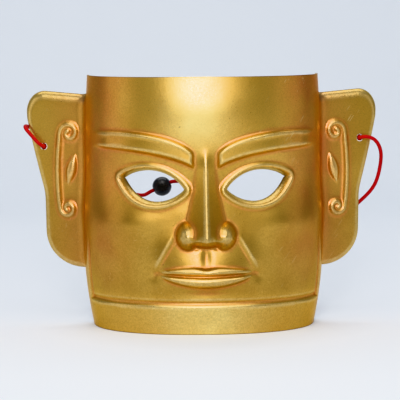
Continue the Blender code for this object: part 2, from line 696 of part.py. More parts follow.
def make_cord(collection):
    """The elastic cord, a round tube from knot to knot."""
    path = paced(smooth_path(cord_route()), 1.1 * CORD_DIAMETER, 2.8 * CORD_DIAMETER, 0.036)
    curve = bpy.data.curves.new("elastic_cord", "CURVE")
    curve.dimensions = "3D"
    curve.bevel_depth = CORD_DIAMETER / 2
    curve.bevel_resolution = 2
    curve.use_fill_caps = True
    line = curve.splines.new("POLY")
    line.points.add(len(path) - 1)
    for point, place in zip(line.points, path):
        point.co = (*place, 1)
    curve.materials.append(material("red_cord", (0.60, 0.012, 0.020), 0.6))
    cord = bpy.data.objects.new("elastic_cord", curve)
    collection.objects.link(cord)
    return cord


def make_bead(collection, cutters):
    """The round bead, drilled through for the cord."""
    turn = Vector((0, 0, 1)).rotation_difference(BEAD_LEAN).to_matrix().to_4x4()
    place = Matrix.Translation(BEAD_PLACE) @ turn
    bead = turned_solid("cord_bead", collection, place, BEAD_DIAMETER / 2, BEAD_DIAMETER / 2, 20)
    bead.data.materials.append(material("black_plastic", (0.012, 0.012, 0.014), 0.3))
    drill = bpy.data.meshes.new("cord_bead_drill")
    made = bmesh.new()
    bmesh.ops.create_cone(
        made,
        cap_ends=True,
        segments=12,
        radius1=BEAD_BORE_RADIUS,
        radius2=BEAD_BORE_RADIUS,
        depth=BEAD_DIAMETER * 1.5,
        matrix=place,
    )
    made.to_mesh(drill)
    made.free()
    cutter = bpy.data.objects.new("cord_bead_drill", drill)
    cutter.display_type = "WIRE"
    cutter.hide_render = True
    cutters.objects.link(cutter)
    bore = bead.modifiers.new("bore", "BOOLEAN")
    bore.operation = "DIFFERENCE"
    bore.solver = "EXACT"
    bore.object = cutter
    return bead


def turned_solid(name, collection, place, radius, half_height, sides):
    """A ball, or a ball pressed along its own Z axis, at a place."""
    mesh = bpy.data.meshes.new(name)
    made = bmesh.new()
    shape = place @ Matrix.Diagonal((radius, radius, half_height, 1))
    bmesh.ops.create_uvsphere(made, u_segments=sides, v_segments=sides // 2, radius=1, matrix=shape)
    made.to_mesh(mesh)
    made.free()
    mesh.shade_smooth()
    solid = bpy.data.objects.new(name, mesh)
    collection.objects.link(solid)
    return solid


def make_knot(name, collection, side):
    """A stopper knot behind an ear, wider than the hole it holds in."""
    half = KNOT_THICKNESS / 2
    centre = ear_place(side, CORD_HOLE_FROM_MIDDLE, hole_height(side), -WALL - GAP - half)
    out = Vector(forward(along_of(np.array([side * CORD_HOLE_FROM_MIDDLE])))[0])
    turn = Vector((0, 0, 1)).rotation_difference(out).to_matrix().to_4x4()
    knot = turned_solid(name, collection, Matrix.Translation(centre) @ turn, KNOT_DIAMETER / 2, half, 12)
    knot.data.materials.append(material(name + "_red", (0.60, 0.012, 0.020), 0.6))
    return knot


def depth_middle():
    """The middle of the shell's depth, from the tip of the nose to the back of the ears' edges."""
    heights = np.linspace(NOSE_BASE, NOSE_BASE + 0.02, 60)
    front = surface(np.zeros_like(heights), heights)[:, 1].min()
    along, height = np.array(outline(0.002)).T
    back = surface(along, height) - WALL * outward(along, height)
    return (front + back[:, 1].max()) / 2


def main():
    """Clears the scene and builds the mask, with the middle of its shell's box over the origin."""
    for obj in list(bpy.data.objects):
        bpy.data.objects.remove(obj)
    mask = bpy.data.collections.new("costume_mask")
    cutters = bpy.data.collections.new("cutters")
    cutters.hide_render = True
    for collection in (mask, cutters):
        bpy.context.scene.collection.children.link(collection)
    make_shell(mask)
    make_cord(mask)
    make_bead(mask, cutters)
    make_knot("left_knot", mask, -1)
    make_knot("right_knot", mask, 1)
    middle = depth_middle()
    for obj in (*mask.objects, *cutters.objects):
        obj.location.y = -middle


main()
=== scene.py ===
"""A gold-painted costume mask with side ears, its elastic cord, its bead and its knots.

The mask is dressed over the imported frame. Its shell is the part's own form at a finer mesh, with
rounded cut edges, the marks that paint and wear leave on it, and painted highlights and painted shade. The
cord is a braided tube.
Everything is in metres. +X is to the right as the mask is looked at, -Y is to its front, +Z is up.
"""

import logging
import math
from dataclasses import dataclass, field
from enum import Enum
from typing import Any, Sequence

import bpy
import numpy as np
from mathutils import Matrix, Vector
from mathutils.geometry import delaunay_2d_cdt
from mathutils.kdtree import KDTree


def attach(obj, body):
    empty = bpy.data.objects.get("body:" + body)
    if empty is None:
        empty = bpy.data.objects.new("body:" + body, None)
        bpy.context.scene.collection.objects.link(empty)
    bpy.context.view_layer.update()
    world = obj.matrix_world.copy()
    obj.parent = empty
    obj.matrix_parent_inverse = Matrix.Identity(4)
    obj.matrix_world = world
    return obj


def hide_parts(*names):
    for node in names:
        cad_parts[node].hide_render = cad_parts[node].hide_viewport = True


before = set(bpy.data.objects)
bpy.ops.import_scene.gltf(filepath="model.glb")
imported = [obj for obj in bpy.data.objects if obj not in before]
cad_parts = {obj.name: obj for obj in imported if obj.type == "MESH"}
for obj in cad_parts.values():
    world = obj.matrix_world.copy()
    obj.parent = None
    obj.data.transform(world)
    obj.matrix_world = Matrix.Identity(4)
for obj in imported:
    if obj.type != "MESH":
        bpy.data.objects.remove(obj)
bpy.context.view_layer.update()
LOG = logging.getLogger("costume_mask")

Colour = tuple[float, float, float]
Path = list[tuple[float, float]]


class Side(Enum):
    """The two sides of the mask, as it is looked at."""

    LEFT = -1
    RIGHT = 1


class Effect(Enum):
    """The shader node groups that the finishes share."""

    GRAIN = "fine_grain"
    PATCHES = "soft_patches"
    SPECKS = "scattered_specks"
    SCRATCHES = "hairline_scratches"


def smooth_step(start: float, end: float, value: np.ndarray) -> np.ndarray:
    """Rises smoothly from 0 to 1 between two values.

    Args:
        start: Where the rise begins.
        end: Where it ends, on either side of the start.
        value: The numbers to look up.

    Returns:
        The share for each number.
    """
    share = np.clip((value - start) / (end - start), 0, 1)
    return share * share * (3 - 2 * share)


def path_distance(x: np.ndarray, height: np.ndarray, path: Path, closed: bool = False) -> np.ndarray:
    """Measures how far points are from a path of straight pieces.

    Args:
        x: The points' places across.
        height: The points' heights.
        path: The path's corners.
        closed: Whether the path's end joins its start.

    Returns:
        The distance of each point.
    """
    points = np.asarray(path, float)
    ends = np.roll(points, -1, axis=0) if closed else points[1:]
    best = np.full(np.shape(x), np.inf)
    for (ax, az), (bx, bz) in zip(points, ends):
        dx, dz = bx - ax, bz - az
        share = np.clip(((x - ax) * dx + (height - az) * dz) / max(dx * dx + dz * dz, 1e-12), 0, 1)
        best = np.minimum(best, np.hypot(x - ax - share * dx, height - az - share * dz))
    return best


def inside(x: np.ndarray, height: np.ndarray, loop: Path) -> np.ndarray:
    """Tells which points lie inside a closed loop.

    Args:
        x: The points' places across.
        height: The points' heights.
        loop: The loop's corners.

    Returns:
        True for each point inside.
    """
    found = np.zeros(np.shape(x), bool)
    for (ax, az), (bx, bz) in zip(loop, np.roll(loop, -1, axis=0)):
        if az != bz:
            crosses = (az > height) != (bz > height)
            found ^= crosses & (x < ax + (height - az) * (bx - ax) / (bz - az))
    return found


def spaced(points: Path, spacing: float, closed: bool) -> Path:
    """Divides a path's sides so that none is longer than the spacing.

    Args:
        points: The path's corners.
        spacing: The longest side wanted.
        closed: Whether the path's end joins its start.

    Returns:
        The finer path.
    """
    path: Path = []
    ends = points[1:] + points[:1] if closed else points[1:]
    for a, b in zip(points, ends):
        pieces = max(1, math.ceil(math.dist(a, b) / spacing - 1e-6))
        path += [tuple(Vector(a).lerp(Vector(b), k / pieces)) for k in range(pieces)]
    return path if closed else path + [points[-1]]


def rounded(corners: Sequence[tuple[float, float, float]], spacing: float, closed: bool = True) -> Path:
    """Joins corners by straight lines and arcs.

    Args:
        corners: Each corner's place across, its height and its radius.
        spacing: The longest side wanted.
        closed: Whether the path's end joins its start.

    Returns:
        The rounded path.
    """
    count = len(corners)
    points: Path = []
    for i, (x, z, radius) in enumerate(corners):
        here = Vector((x, z))
        if radius == 0 or (not closed and i in (0, count - 1)):
            points.append(tuple(here))
            continue
        back = (Vector(corners[i - 1][:2]) - here).normalized()
        on = (Vector(corners[(i + 1) % count][:2]) - here).normalized()
        half = back.angle(on) / 2
        centre = here + (back + on).normalized() * radius / math.sin(half)
        start = here + back * radius / math.tan(half) - centre
        turn = (math.pi - 2 * half) * (1 if back.cross(on) < 0 else -1)
        steps = max(2, round(abs(turn) * radius / spacing))
        points += [tuple(centre + Matrix.Rotation(turn * k / steps, 2) @ start) for k in range(steps + 1)]
    return spaced(points, spacing, closed)


def new_object(name: str, data: bpy.types.ID) -> bpy.types.Object:
    """Puts data in the scene as an object at the origin.

    Args:
        name: The object's name.
        data: Its mesh, curve, light or camera.

    Returns:
        The linked object.
    """
    made = bpy.data.objects.new(name, data)
    bpy.context.scene.collection.objects.link(made)
    return made


def new_mesh(name: str, points: Any, faces: Any) -> bpy.types.Mesh:
    """Makes a smooth-shaded mesh.

    Args:
        name: The mesh's name.
        points: Its vertices.
        faces: Its faces, as vertex numbers.

    Returns:
        The mesh.
    """
    mesh = bpy.data.meshes.new(name)
    mesh.from_pydata([tuple(p) for p in points], [], [tuple(int(i) for i in f) for f in faces])
    mesh.update()
    mesh.shade_smooth()
    return mesh


def store(mesh: bpy.types.Mesh, name: str, values: np.ndarray) -> None:
    """Keeps one number for each vertex of a mesh.

    Args:
        mesh: The mesh.
        name: The attribute's name.
        values: One value for each vertex.
    """
    mesh.attributes.new(name, "FLOAT", "POINT").data.foreach_set("value", values.astype(np.float32))


class Graph:
    """Adds nodes to one tree and joins them."""

    def __init__(self, tree: bpy.types.NodeTree) -> None:
        """Keeps the tree that the nodes go into."""
        self.tree = tree

    def add(self, kind: str, inputs: dict | None = None, **settings: Any) -> bpy.types.Node:
        """Adds one node.

        Args:
            kind: The node's type.
            inputs: What goes into its sockets, by name or number: values, or other sockets.
            settings: The node's own properties.

        Returns:
            The node.
        """
        node = self.tree.nodes.new(kind)
        for name, value in settings.items():
            setattr(node, name, value)
        for name, value in (inputs or {}).items():
            if isinstance(value, bpy.types.NodeSocket):
                self.tree.links.new(value, node.inputs[name])
            else:
                node.inputs[name].default_value = value
        return node

    def math(self, operation: str, *values: Any) -> bpy.types.NodeSocket:
        """Does one step of arithmetic.

        Args:
            operation: The Math node's operation.
            values: Its numbers or sockets.

        Returns:
            The result's socket.
        """
        return self.add("ShaderNodeMath", dict(enumerate(values)), operation=operation).outputs[0]

    def times(self, first: Any, second: Any) -> bpy.types.NodeSocket:
        """Multiplies two numbers or sockets."""
        return self.math("MULTIPLY", first, second)

    def plus(self, first: Any, second: Any) -> bpy.types.NodeSocket:
        """Adds two numbers or sockets."""
        return self.math("ADD", first, second)

    def minus(self, first: Any, second: Any) -> bpy.types.NodeSocket:
        """Takes the second number or socket from the first."""
        return self.math("SUBTRACT", first, second)

    def times_plus(self, value: Any, factor: Any, more: Any) -> bpy.types.NodeSocket:
        """Multiplies a number or socket by a factor and adds more to it."""
        return self.math("MULTIPLY_ADD", value, factor, more)

    def bump(self, height: Any, distance: float, strength: float) -> bpy.types.NodeSocket:
        """Turns a height into the normals of a fine relief.

        Args:
            height: The height's socket.
            distance: How high a height of 1 stands.
            strength: How much of the relief is kept.

        Returns:
            The normal's socket.
        """
        inputs = {"Height": height, "Distance": distance, "Strength": strength}
        return self.add("ShaderNodeBump", inputs).outputs[0]

    def spread(
        self, value: Any, low: float, high: float, out_low: float = 0.0, out_high: float = 1.0
    ) -> bpy.types.NodeSocket:
        """Maps a range of numbers to another, smoothly and within its ends.

        Args:
            value: The socket to map.
            low: The start of its range.
            high: The end of its range.
            out_low: What the start becomes.
            out_high: What the end becomes.

        Returns:
            The result's socket.
        """
        node = self.add("ShaderNodeMapRange", dict(enumerate((value, low, high, out_low, out_high))))
        node.interpolation_type = "SMOOTHSTEP"
        return node.outputs[0]

    def blend(self, share: Any, first: Any, second: Any) -> bpy.types.NodeSocket:
        """Mixes two colours.

        Args:
            share: How much of the second there is.
            first: The first colour or socket.
            second: The second colour or socket.

        Returns:
            The mixed colour's socket.
        """
        colours = [(*c, 1.0) if isinstance(c, tuple) and len(c) == 3 else c for c in (first, second)]
        node = self.add("ShaderNodeMix", data_type="RGBA", clamp_factor=True)
        for socket, value in zip((node.inputs[0], node.inputs[6], node.inputs[7]), (share, *colours)):
            if isinstance(value, bpy.types.NodeSocket):
                self.tree.links.new(value, socket)
            else:
                socket.default_value = value
        return node.outputs[2]

    def attribute(self, name: str) -> bpy.types.NodeSocket:
        """Reads a number that the mesh keeps at its vertices."""
        return self.add("ShaderNodeAttribute", attribute_name=name).outputs["Fac"]

    def noise(self, where: Any, scale: Any, detail: float = 2.0, rough: float = 0.5) -> bpy.types.NodeSocket:
        """Adds soft noise.

        Args:
            where: The coordinates' socket.
            scale: How fine the noise is.
            detail: How many finer layers it has.
            rough: How strong the finer layers are.

        Returns:
            The noise's socket, about 0.5 on average.
        """
        inputs = {"Vector": where, "Scale": scale, "Detail": detail, "Roughness": rough}
        return self.add("ShaderNodeTexNoise", inputs).outputs[0]

    def shared(self, effect: Effect, where: Any, **inputs: Any) -> bpy.types.NodeSocket:
        """Adds one of the shared effects.

        Args:
            effect: Which effect.
            where: The coordinates' socket.
            inputs: The effect's named sizes.

        Returns:
            The effect's mask.
        """
        node = self.add("ShaderNodeGroup", node_tree=shared_effect(effect))
        self.tree.links.new(where, node.inputs["Where"])
        for name, value in inputs.items():
            node.inputs[name].default_value = value
        return node.outputs["Mask"]


def shared_effect(effect: Effect) -> bpy.types.NodeTree:
    """Finds a shared effect's node group, or builds it the first time.

    Args:
        effect: Which effect.

    Returns:
        Its node group, whose one output is a mask from 0 to 1.
    """
    tree = bpy.data.node_groups.get(effect.value)
    if tree:
        return tree
    tree = bpy.data.node_groups.new(effect.value, "ShaderNodeTree")
    tree.interface.new_socket("Where", in_out="INPUT", socket_type="NodeSocketVector")
    for name, value in (("Scale", 100.0), ("Amount", 0.5)):
        tree.interface.new_socket(name, in_out="INPUT", socket_type="NodeSocketFloat").default_value = value
    tree.interface.new_socket("Mask", in_out="OUTPUT", socket_type="NodeSocketFloat")
    graph = Graph(tree)
    given = graph.add("NodeGroupInput").outputs
    where, scale, amount = given["Where"], given["Scale"], given["Amount"]
    if effect is Effect.GRAIN:
        coarse = graph.noise(where, scale, 3.0, 0.7)
        flakes = graph.add("ShaderNodeTexVoronoi", {"Vector": where, "Scale": graph.times(scale, 2.2)})
        mask = graph.times_plus(flakes.outputs["Distance"], 0.35, graph.times(coarse, 0.75))
        mask = graph.times(mask, amount)
    elif effect is Effect.PATCHES:
        mask = graph.times(graph.spread(graph.noise(where, scale, 2.0, 0.45), 0.36, 0.66), amount)
    elif effect is Effect.SPECKS:
        cells = graph.add("ShaderNodeTexVoronoi", {"Vector": where, "Scale": scale})
        drawn = graph.add("ShaderNodeSeparateColor", {0: cells.outputs["Color"]}).outputs[0]
        chosen = graph.math("LESS_THAN", drawn, amount)
        mask = graph.times(graph.spread(cells.outputs["Distance"], 0.16, 0.05), chosen)
    else:
        turned = {"Vector": where, "Rotation": (0.3, 0.6, 0.9), "Scale": (1.0, 1.0, 28.0)}
        drawn = graph.add("ShaderNodeMapping", turned, vector_type="TEXTURE")
        lines = graph.spread(graph.noise(drawn.outputs[0], scale, 0.0), 0.735, 0.76)
        place = graph.spread(graph.noise(where, graph.times(scale, 0.06), 1.0), 0.52, 0.62)
        mask = graph.times(graph.times(lines, place), amount)
    graph.add("NodeGroupOutput", {"Mask": mask})
    return tree


def new_material(name: str) -> tuple[bpy.types.Material, Graph, bpy.types.Node, bpy.types.NodeSocket]:
    """Starts a material.

    Args:
        name: Its name.

    Returns:
        The material, its graph, its shader and the object's coordinates.
    """
    made = bpy.data.materials.new(name)
    made.use_nodes = True
    graph = Graph(made.node_tree)
    where = graph.add("ShaderNodeTexCoord").outputs["Object"]
    return made, graph, made.node_tree.nodes["Principled BSDF"], where


def set_on(graph: Graph, shader: bpy.types.Node, **inputs: Any) -> None:
    """Sets a shader's sockets, whose names are written with _ for a space.

    Args:
        graph: The material's graph.
        shader: The shader node.
        inputs: Values or sockets.
    """
    for name, value in inputs.items():
        socket = shader.inputs[name.replace("_", " ").title().replace("Ior", "IOR")]
        if isinstance(value, bpy.types.NodeSocket):
            graph.tree.links.new(value, socket)
        else:
            socket.default_value = value


@dataclass(frozen=True)
class GoldPaint:
    """Satin gold spray paint with a fine metal grain, and painted light: orange in the hollows and down the
    sides, partly airbrushed and partly painted shade; paler ridges, partly wear and partly painted highlight;
    a painted highlight mid forehead and mid chin band; painted shade on the lower half, the cut edges and the
    rolled ear tops.
    """

    gold: Colour = (0.66, 0.405, 0.092)
    ochre: Colour = (0.58, 0.335, 0.068)
    # Orange, partly an airbrushed tint, partly painted shade in the hollows, down the sides, on the cheeks
    # and in the upper corners.
    mist_and_shade: Colour = (0.64, 0.172, 0.076)
    # Painted highlight: a paler gold where the light shines brightest on the forehead and the chin band.
    painted_highlight: Colour = (0.90, 0.710, 0.250)
    # Painted shade for the rolled top of each ear: a dull darker pink.
    roll_shade: Colour = (0.27, 0.180, 0.125)
    # Painted shade: the dark brown for the lower half and, partly, for the cut edges.
    shade_brown: Colour = (0.15, 0.075, 0.020)
    # Paler gold for rubbed wear and scratches, and for the painted highlight on the ridges.
    worn_and_highlight: Colour = (0.96, 0.80, 0.38)
    flake: Colour = (0.16, 0.085, 0.02)
    speck: Colour = (0.10, 0.055, 0.02)
    plastic: Colour = (0.80, 0.78, 0.74)
    # Shares of the orange in the hollows (partly airbrushed, partly painted shade), of the rubbed wear and
    # painted highlight on the ridges, of the dark flakes, and of the painted shade at the cut edges.
    hollow_shade_share: float = 0.36
    wear_highlight_share: float = 0.34
    flake_share: float = 0.31
    rim_shade_share: float = 0.72
    metallic: float = 0.94
    roughness: float = 0.34
    roughness_swing: float = 0.07
    coat: float = 0.18
    coat_roughness: float = 0.30
    patch_scale: float = 26.0
    uneven_scale: float = 55.0
    wear_scale: float = 240.0
    speck_scale: float = 150.0
    speck_amount: float = 0.012
    scratch_scale: float = 900.0
    scratch_amount: float = 0.4
    chip_scale: float = 330.0
    ripple_scale: float = 85.0
    grain_scale: float = 620.0
    grain_height: float = 0.00008

    def sprayed(
        self, graph: Graph, where: bpy.types.NodeSocket, uneven: bpy.types.NodeSocket
    ) -> bpy.types.NodeSocket:
        """Colours the coat: its patches, the painted highlight, the orange that is partly airbrushed and
        partly painted shade, and the painted shade on the lower half and on the rolled ear tops.

        Args:
            graph: The material's graph.
            where: The coordinates' socket.
            uneven: How unevenly the coat lies.

        Returns:
            The colour's socket.
        """
        patches = graph.shared(Effect.PATCHES, where, Scale=self.patch_scale, Amount=0.7)
        colour = graph.blend(patches, self.gold, self.ochre)
        # Painted highlight on the forehead and chin band, orange that is partly airbrushed and partly painted
        # shade, and painted shade on the lower half.
        for name, tint in (("painted_highlight", self.painted_highlight), ("mist_and_shade", self.mist_and_shade), ("lean", self.shade_brown)):
            colour = graph.blend(graph.times(graph.attribute(name), uneven), colour, tint)
        # Painted shade along the rolled top of each ear.
        return graph.blend(graph.attribute("roll"), colour, self.roll_shade)

    def chips(self, graph: Graph, where: bpy.types.NodeSocket) -> bpy.types.NodeSocket:
        """Finds where the paint has broken away beside the cord holes."""
        ragged = graph.times_plus(graph.noise(where, self.chip_scale), 1.5, graph.attribute("bare"))
        return graph.spread(ragged, 1.52, 1.62)

    def material(self) -> bpy.types.Material:
        """Builds the paint's nodes.

        Returns:
            The material.
        """
        made, graph, shader, where = new_material("gold_spray_paint")
        ridge, roll = graph.attribute("ridge"), graph.attribute("roll")
        grain = graph.shared(Effect.GRAIN, where, Scale=self.grain_scale, Amount=1.0)
        uneven = graph.spread(graph.noise(where, self.uneven_scale), 0.25, 0.75, 0.72, 1.12)
        colour = self.sprayed(graph, where, uneven)
        # Painted shade in the hollows, in orange, partly an airbrushed tint.
        hollow = graph.spread(ridge, -0.15, -1.0, 0.0, self.hollow_shade_share)
        colour = graph.blend(graph.times(hollow, uneven), colour, self.mist_and_shade)
        # Paler gold on the ridges: partly rubbed wear, partly painted highlight.
        broken = graph.spread(graph.noise(where, self.wear_scale, 3.0, 0.6), 0.30, 0.62, 0.55, 1.0)
        wear = graph.times(graph.spread(ridge, 0.2, 1.0, 0.0, self.wear_highlight_share), broken)
        wear = graph.times(wear, graph.spread(roll, 0.0, 0.8, 1.0, 0.1))
        colour = graph.blend(wear, colour, self.worn_and_highlight)
        colour = graph.blend(graph.spread(grain, 0.30, 0.75, self.flake_share, 0.0), colour, self.flake)
        sizes = {"Scale": self.speck_scale, "Amount": self.speck_amount}
        specks = graph.shared(Effect.SPECKS, where, **sizes)
        colour = graph.blend(graph.times(specks, 0.5), colour, self.speck)
        sizes = {"Scale": self.scratch_scale, "Amount": self.scratch_amount}
        scratches = graph.shared(Effect.SCRATCHES, where, **sizes)
        scratches = graph.times(scratches, graph.attribute("handled"))
        colour = graph.blend(scratches, colour, self.worn_and_highlight)
        # Darker at the cut edges: partly dark paint at the cut, partly painted shade along the edge's wall.
        rim = graph.spread(graph.attribute("near_edge"), 0.93, 1.0, 0.0, self.rim_shade_share)
        colour = graph.blend(rim, colour, self.shade_brown)
        chipped = self.chips(graph, where)
        colour = graph.blend(chipped, colour, self.plastic)
        dull, bright = self.roughness + self.roughness_swing, self.roughness - self.roughness_swing
        rough = graph.plus(graph.spread(grain, 0.3, 0.8, dull, bright), graph.times(wear, -0.06))
        rough = graph.plus(rough, graph.times(hollow, 0.10))
        rough = graph.plus(rough, graph.times(roll, 0.12))
        height = graph.times_plus(graph.noise(where, self.ripple_scale), 1.3, grain)
        height = graph.minus(height, graph.times(scratches, 0.6))
        set_on(
            graph,
            shader,
            base_color=colour,
            roughness=rough,
            metallic=graph.times(graph.minus(1.0, chipped), self.metallic),
            normal=graph.bump(height, self.grain_height, 0.8),
            specular_tint=(*self.worn_and_highlight, 1.0),
            coat_weight=self.coat,
            coat_roughness=self.coat_roughness,
        )
        return made


@dataclass(frozen=True)
class BarePlastic:
    """The unpainted back of the sheet: off-white moulded plastic with gold overspray blown over its edges."""

    plastic: Colour = (0.74, 0.71, 0.64)
    aged: Colour = (0.66, 0.62, 0.53)
    smudge: Colour = (0.30, 0.25, 0.18)
    overspray: Colour = (0.62, 0.40, 0.12)
    overspray_metal: float = 0.7
    roughness: float = 0.48
    dot_scale: float = 1500.0
    drift_scale: float = 60.0
    cloud_scale: float = 38.0
    smudge_scale: float = 210.0
    ripple_scale: float = 140.0
    relief: float = 0.00007

    def material(self) -> bpy.types.Material:
        """Builds the plastic's nodes.

        Returns:
            The material.
        """
        made, graph, shader, where = new_material("bare_sheet_plastic")
        near = graph.attribute("near_edge")
        dots = graph.noise(where, self.dot_scale, 2.0, 0.7)
        drift = graph.noise(where, self.drift_scale, 3.0, 0.6)
        blown = graph.times_plus(drift, 0.7, graph.minus(near, 0.35))
        blown = graph.spread(graph.times_plus(dots, 0.5, blown), 0.42, 0.92)
        clouds = graph.shared(Effect.PATCHES, where, Scale=self.cloud_scale, Amount=0.5)
        colour = graph.blend(clouds, self.plastic, self.aged)
        smudges = graph.shared(Effect.SPECKS, where, Scale=self.smudge_scale, Amount=0.03)
        colour = graph.blend(graph.times(smudges, 0.5), colour, self.smudge)
        colour = graph.blend(blown, colour, self.overspray)
        height = graph.times_plus(graph.noise(where, self.ripple_scale), 1.6, graph.times(dots, 0.4))
        rough = graph.spread(clouds, 0.0, 0.5, self.roughness, self.roughness + 0.10)
        normal = graph.bump(height, self.relief, 0.6)
        metal = graph.times(blown, self.overspray_metal)
        set_on(graph, shader, base_color=colour, roughness=rough, metallic=metal, normal=normal)
        return made


@dataclass(frozen=True)
class BraidedElastic:
    """Red elastic: a braid of polyester yarns over a rubber core."""

    name: str = "braided_red_elastic"
    yarn: Colour = (0.50, 0.002, 0.003)
    # Painted shade between the yarns.
    shade: Colour = (0.15, 0.001, 0.001)
    faded: Colour = (0.60, 0.006, 0.006)
    fibre: Colour = (0.66, 0.02, 0.02)
    fibre_scale: float = 9000.0
    fibre_height: float = 0.00004
    fade_scale: float = 120.0
    sheen: float = 0.05

    def material(self) -> bpy.types.Material:
        """Builds the braid's nodes.

        Returns:
            The material.
        """
        made, graph, shader, where = new_material(self.name)
        strand = graph.attribute("strand")
        fibres = graph.noise(where, self.fibre_scale, 2.0, 0.7)
        # Painted shade: darker red where the yarns dip between one another.
        colour = graph.blend(graph.spread(strand, 0.35, 0.95, 0.75, 0.0), self.yarn, self.shade)
        patches = graph.shared(Effect.PATCHES, where, Scale=self.fade_scale, Amount=0.22)
        colour = graph.blend(patches, colour, self.faded)
        colour = graph.blend(graph.spread(fibres, 0.60, 0.80, 0.0, 0.30), colour, self.fibre)
        rough = graph.spread(fibres, 0.3, 0.7, 0.50, 0.62)
        normal = graph.bump(fibres, self.fibre_height, 0.7)
        set_on(graph, shader, base_color=colour, roughness=rough, normal=normal)
        set_on(graph, shader, sheen_weight=self.sheen, sheen_roughness=0.4, specular_ior_level=0.25)
        return made


@dataclass(frozen=True)
class BlackMoulding:
    """Black moulded plastic: a soft gloss, fine handling marks and a duller drilled bore."""

    body: Colour = (0.010, 0.010, 0.011)
    dust: Colour = (0.060, 0.056, 0.052)
    mark: Colour = (0.09, 0.09, 0.09)
    dust_scale: float = 420.0
    mark_scale: float = 2600.0
    gloss_scale: float = 900.0
    ripple_scale: float = 1400.0
    ripple_height: float = 0.00003

    def material(self) -> bpy.types.Material:
        """Builds the plastic's nodes.

        Returns:
            The material.
        """
        made, graph, shader, where = new_material("black_moulded_plastic")
        patches = graph.shared(Effect.PATCHES, where, Scale=self.dust_scale, Amount=0.5)
        dust = graph.times(patches, graph.noise(where, 5200.0, 3.0))
        marks = graph.shared(Effect.SCRATCHES, where, Scale=self.mark_scale, Amount=0.5)
        colour = graph.blend(dust, self.body, self.dust)
        colour = graph.blend(graph.times(marks, 0.5), colour, self.mark)
        gloss = graph.spread(graph.noise(where, self.gloss_scale, 3.0), 0.3, 0.7, 0.24, 0.36)
        rough = graph.plus(gloss, graph.times(graph.attribute("bore"), 0.3))
        normal = graph.bump(graph.noise(where, self.ripple_scale, 3.0), self.ripple_height, 0.5)
        set_on(graph, shader, base_color=colour, roughness=rough, normal=normal)
        return made


@dataclass(frozen=True)
class StudioPaper:
    """The whitish seamless paper that the mask stands on and in front of."""

    colour: Colour = (0.80, 0.83, 0.88)
    darker: float = 0.985
    roughness: float = 0.72

    def material(self) -> bpy.types.Material:
        """Builds the paper's nodes.

        Returns:
            The material.
        """
        made, graph, shader, where = new_material("studio_paper")
        tone = graph.spread(graph.noise(where, 3.0), 0.3, 0.7)
        colour = graph.blend(tone, self.colour, tuple(c * self.darker for c in self.colour))
        normal = graph.bump(graph.noise(where, 700.0, 3.0), 0.00005, 0.2)
        set_on(graph, shader, base_color=colour, roughness=self.roughness, normal=normal)
        return made


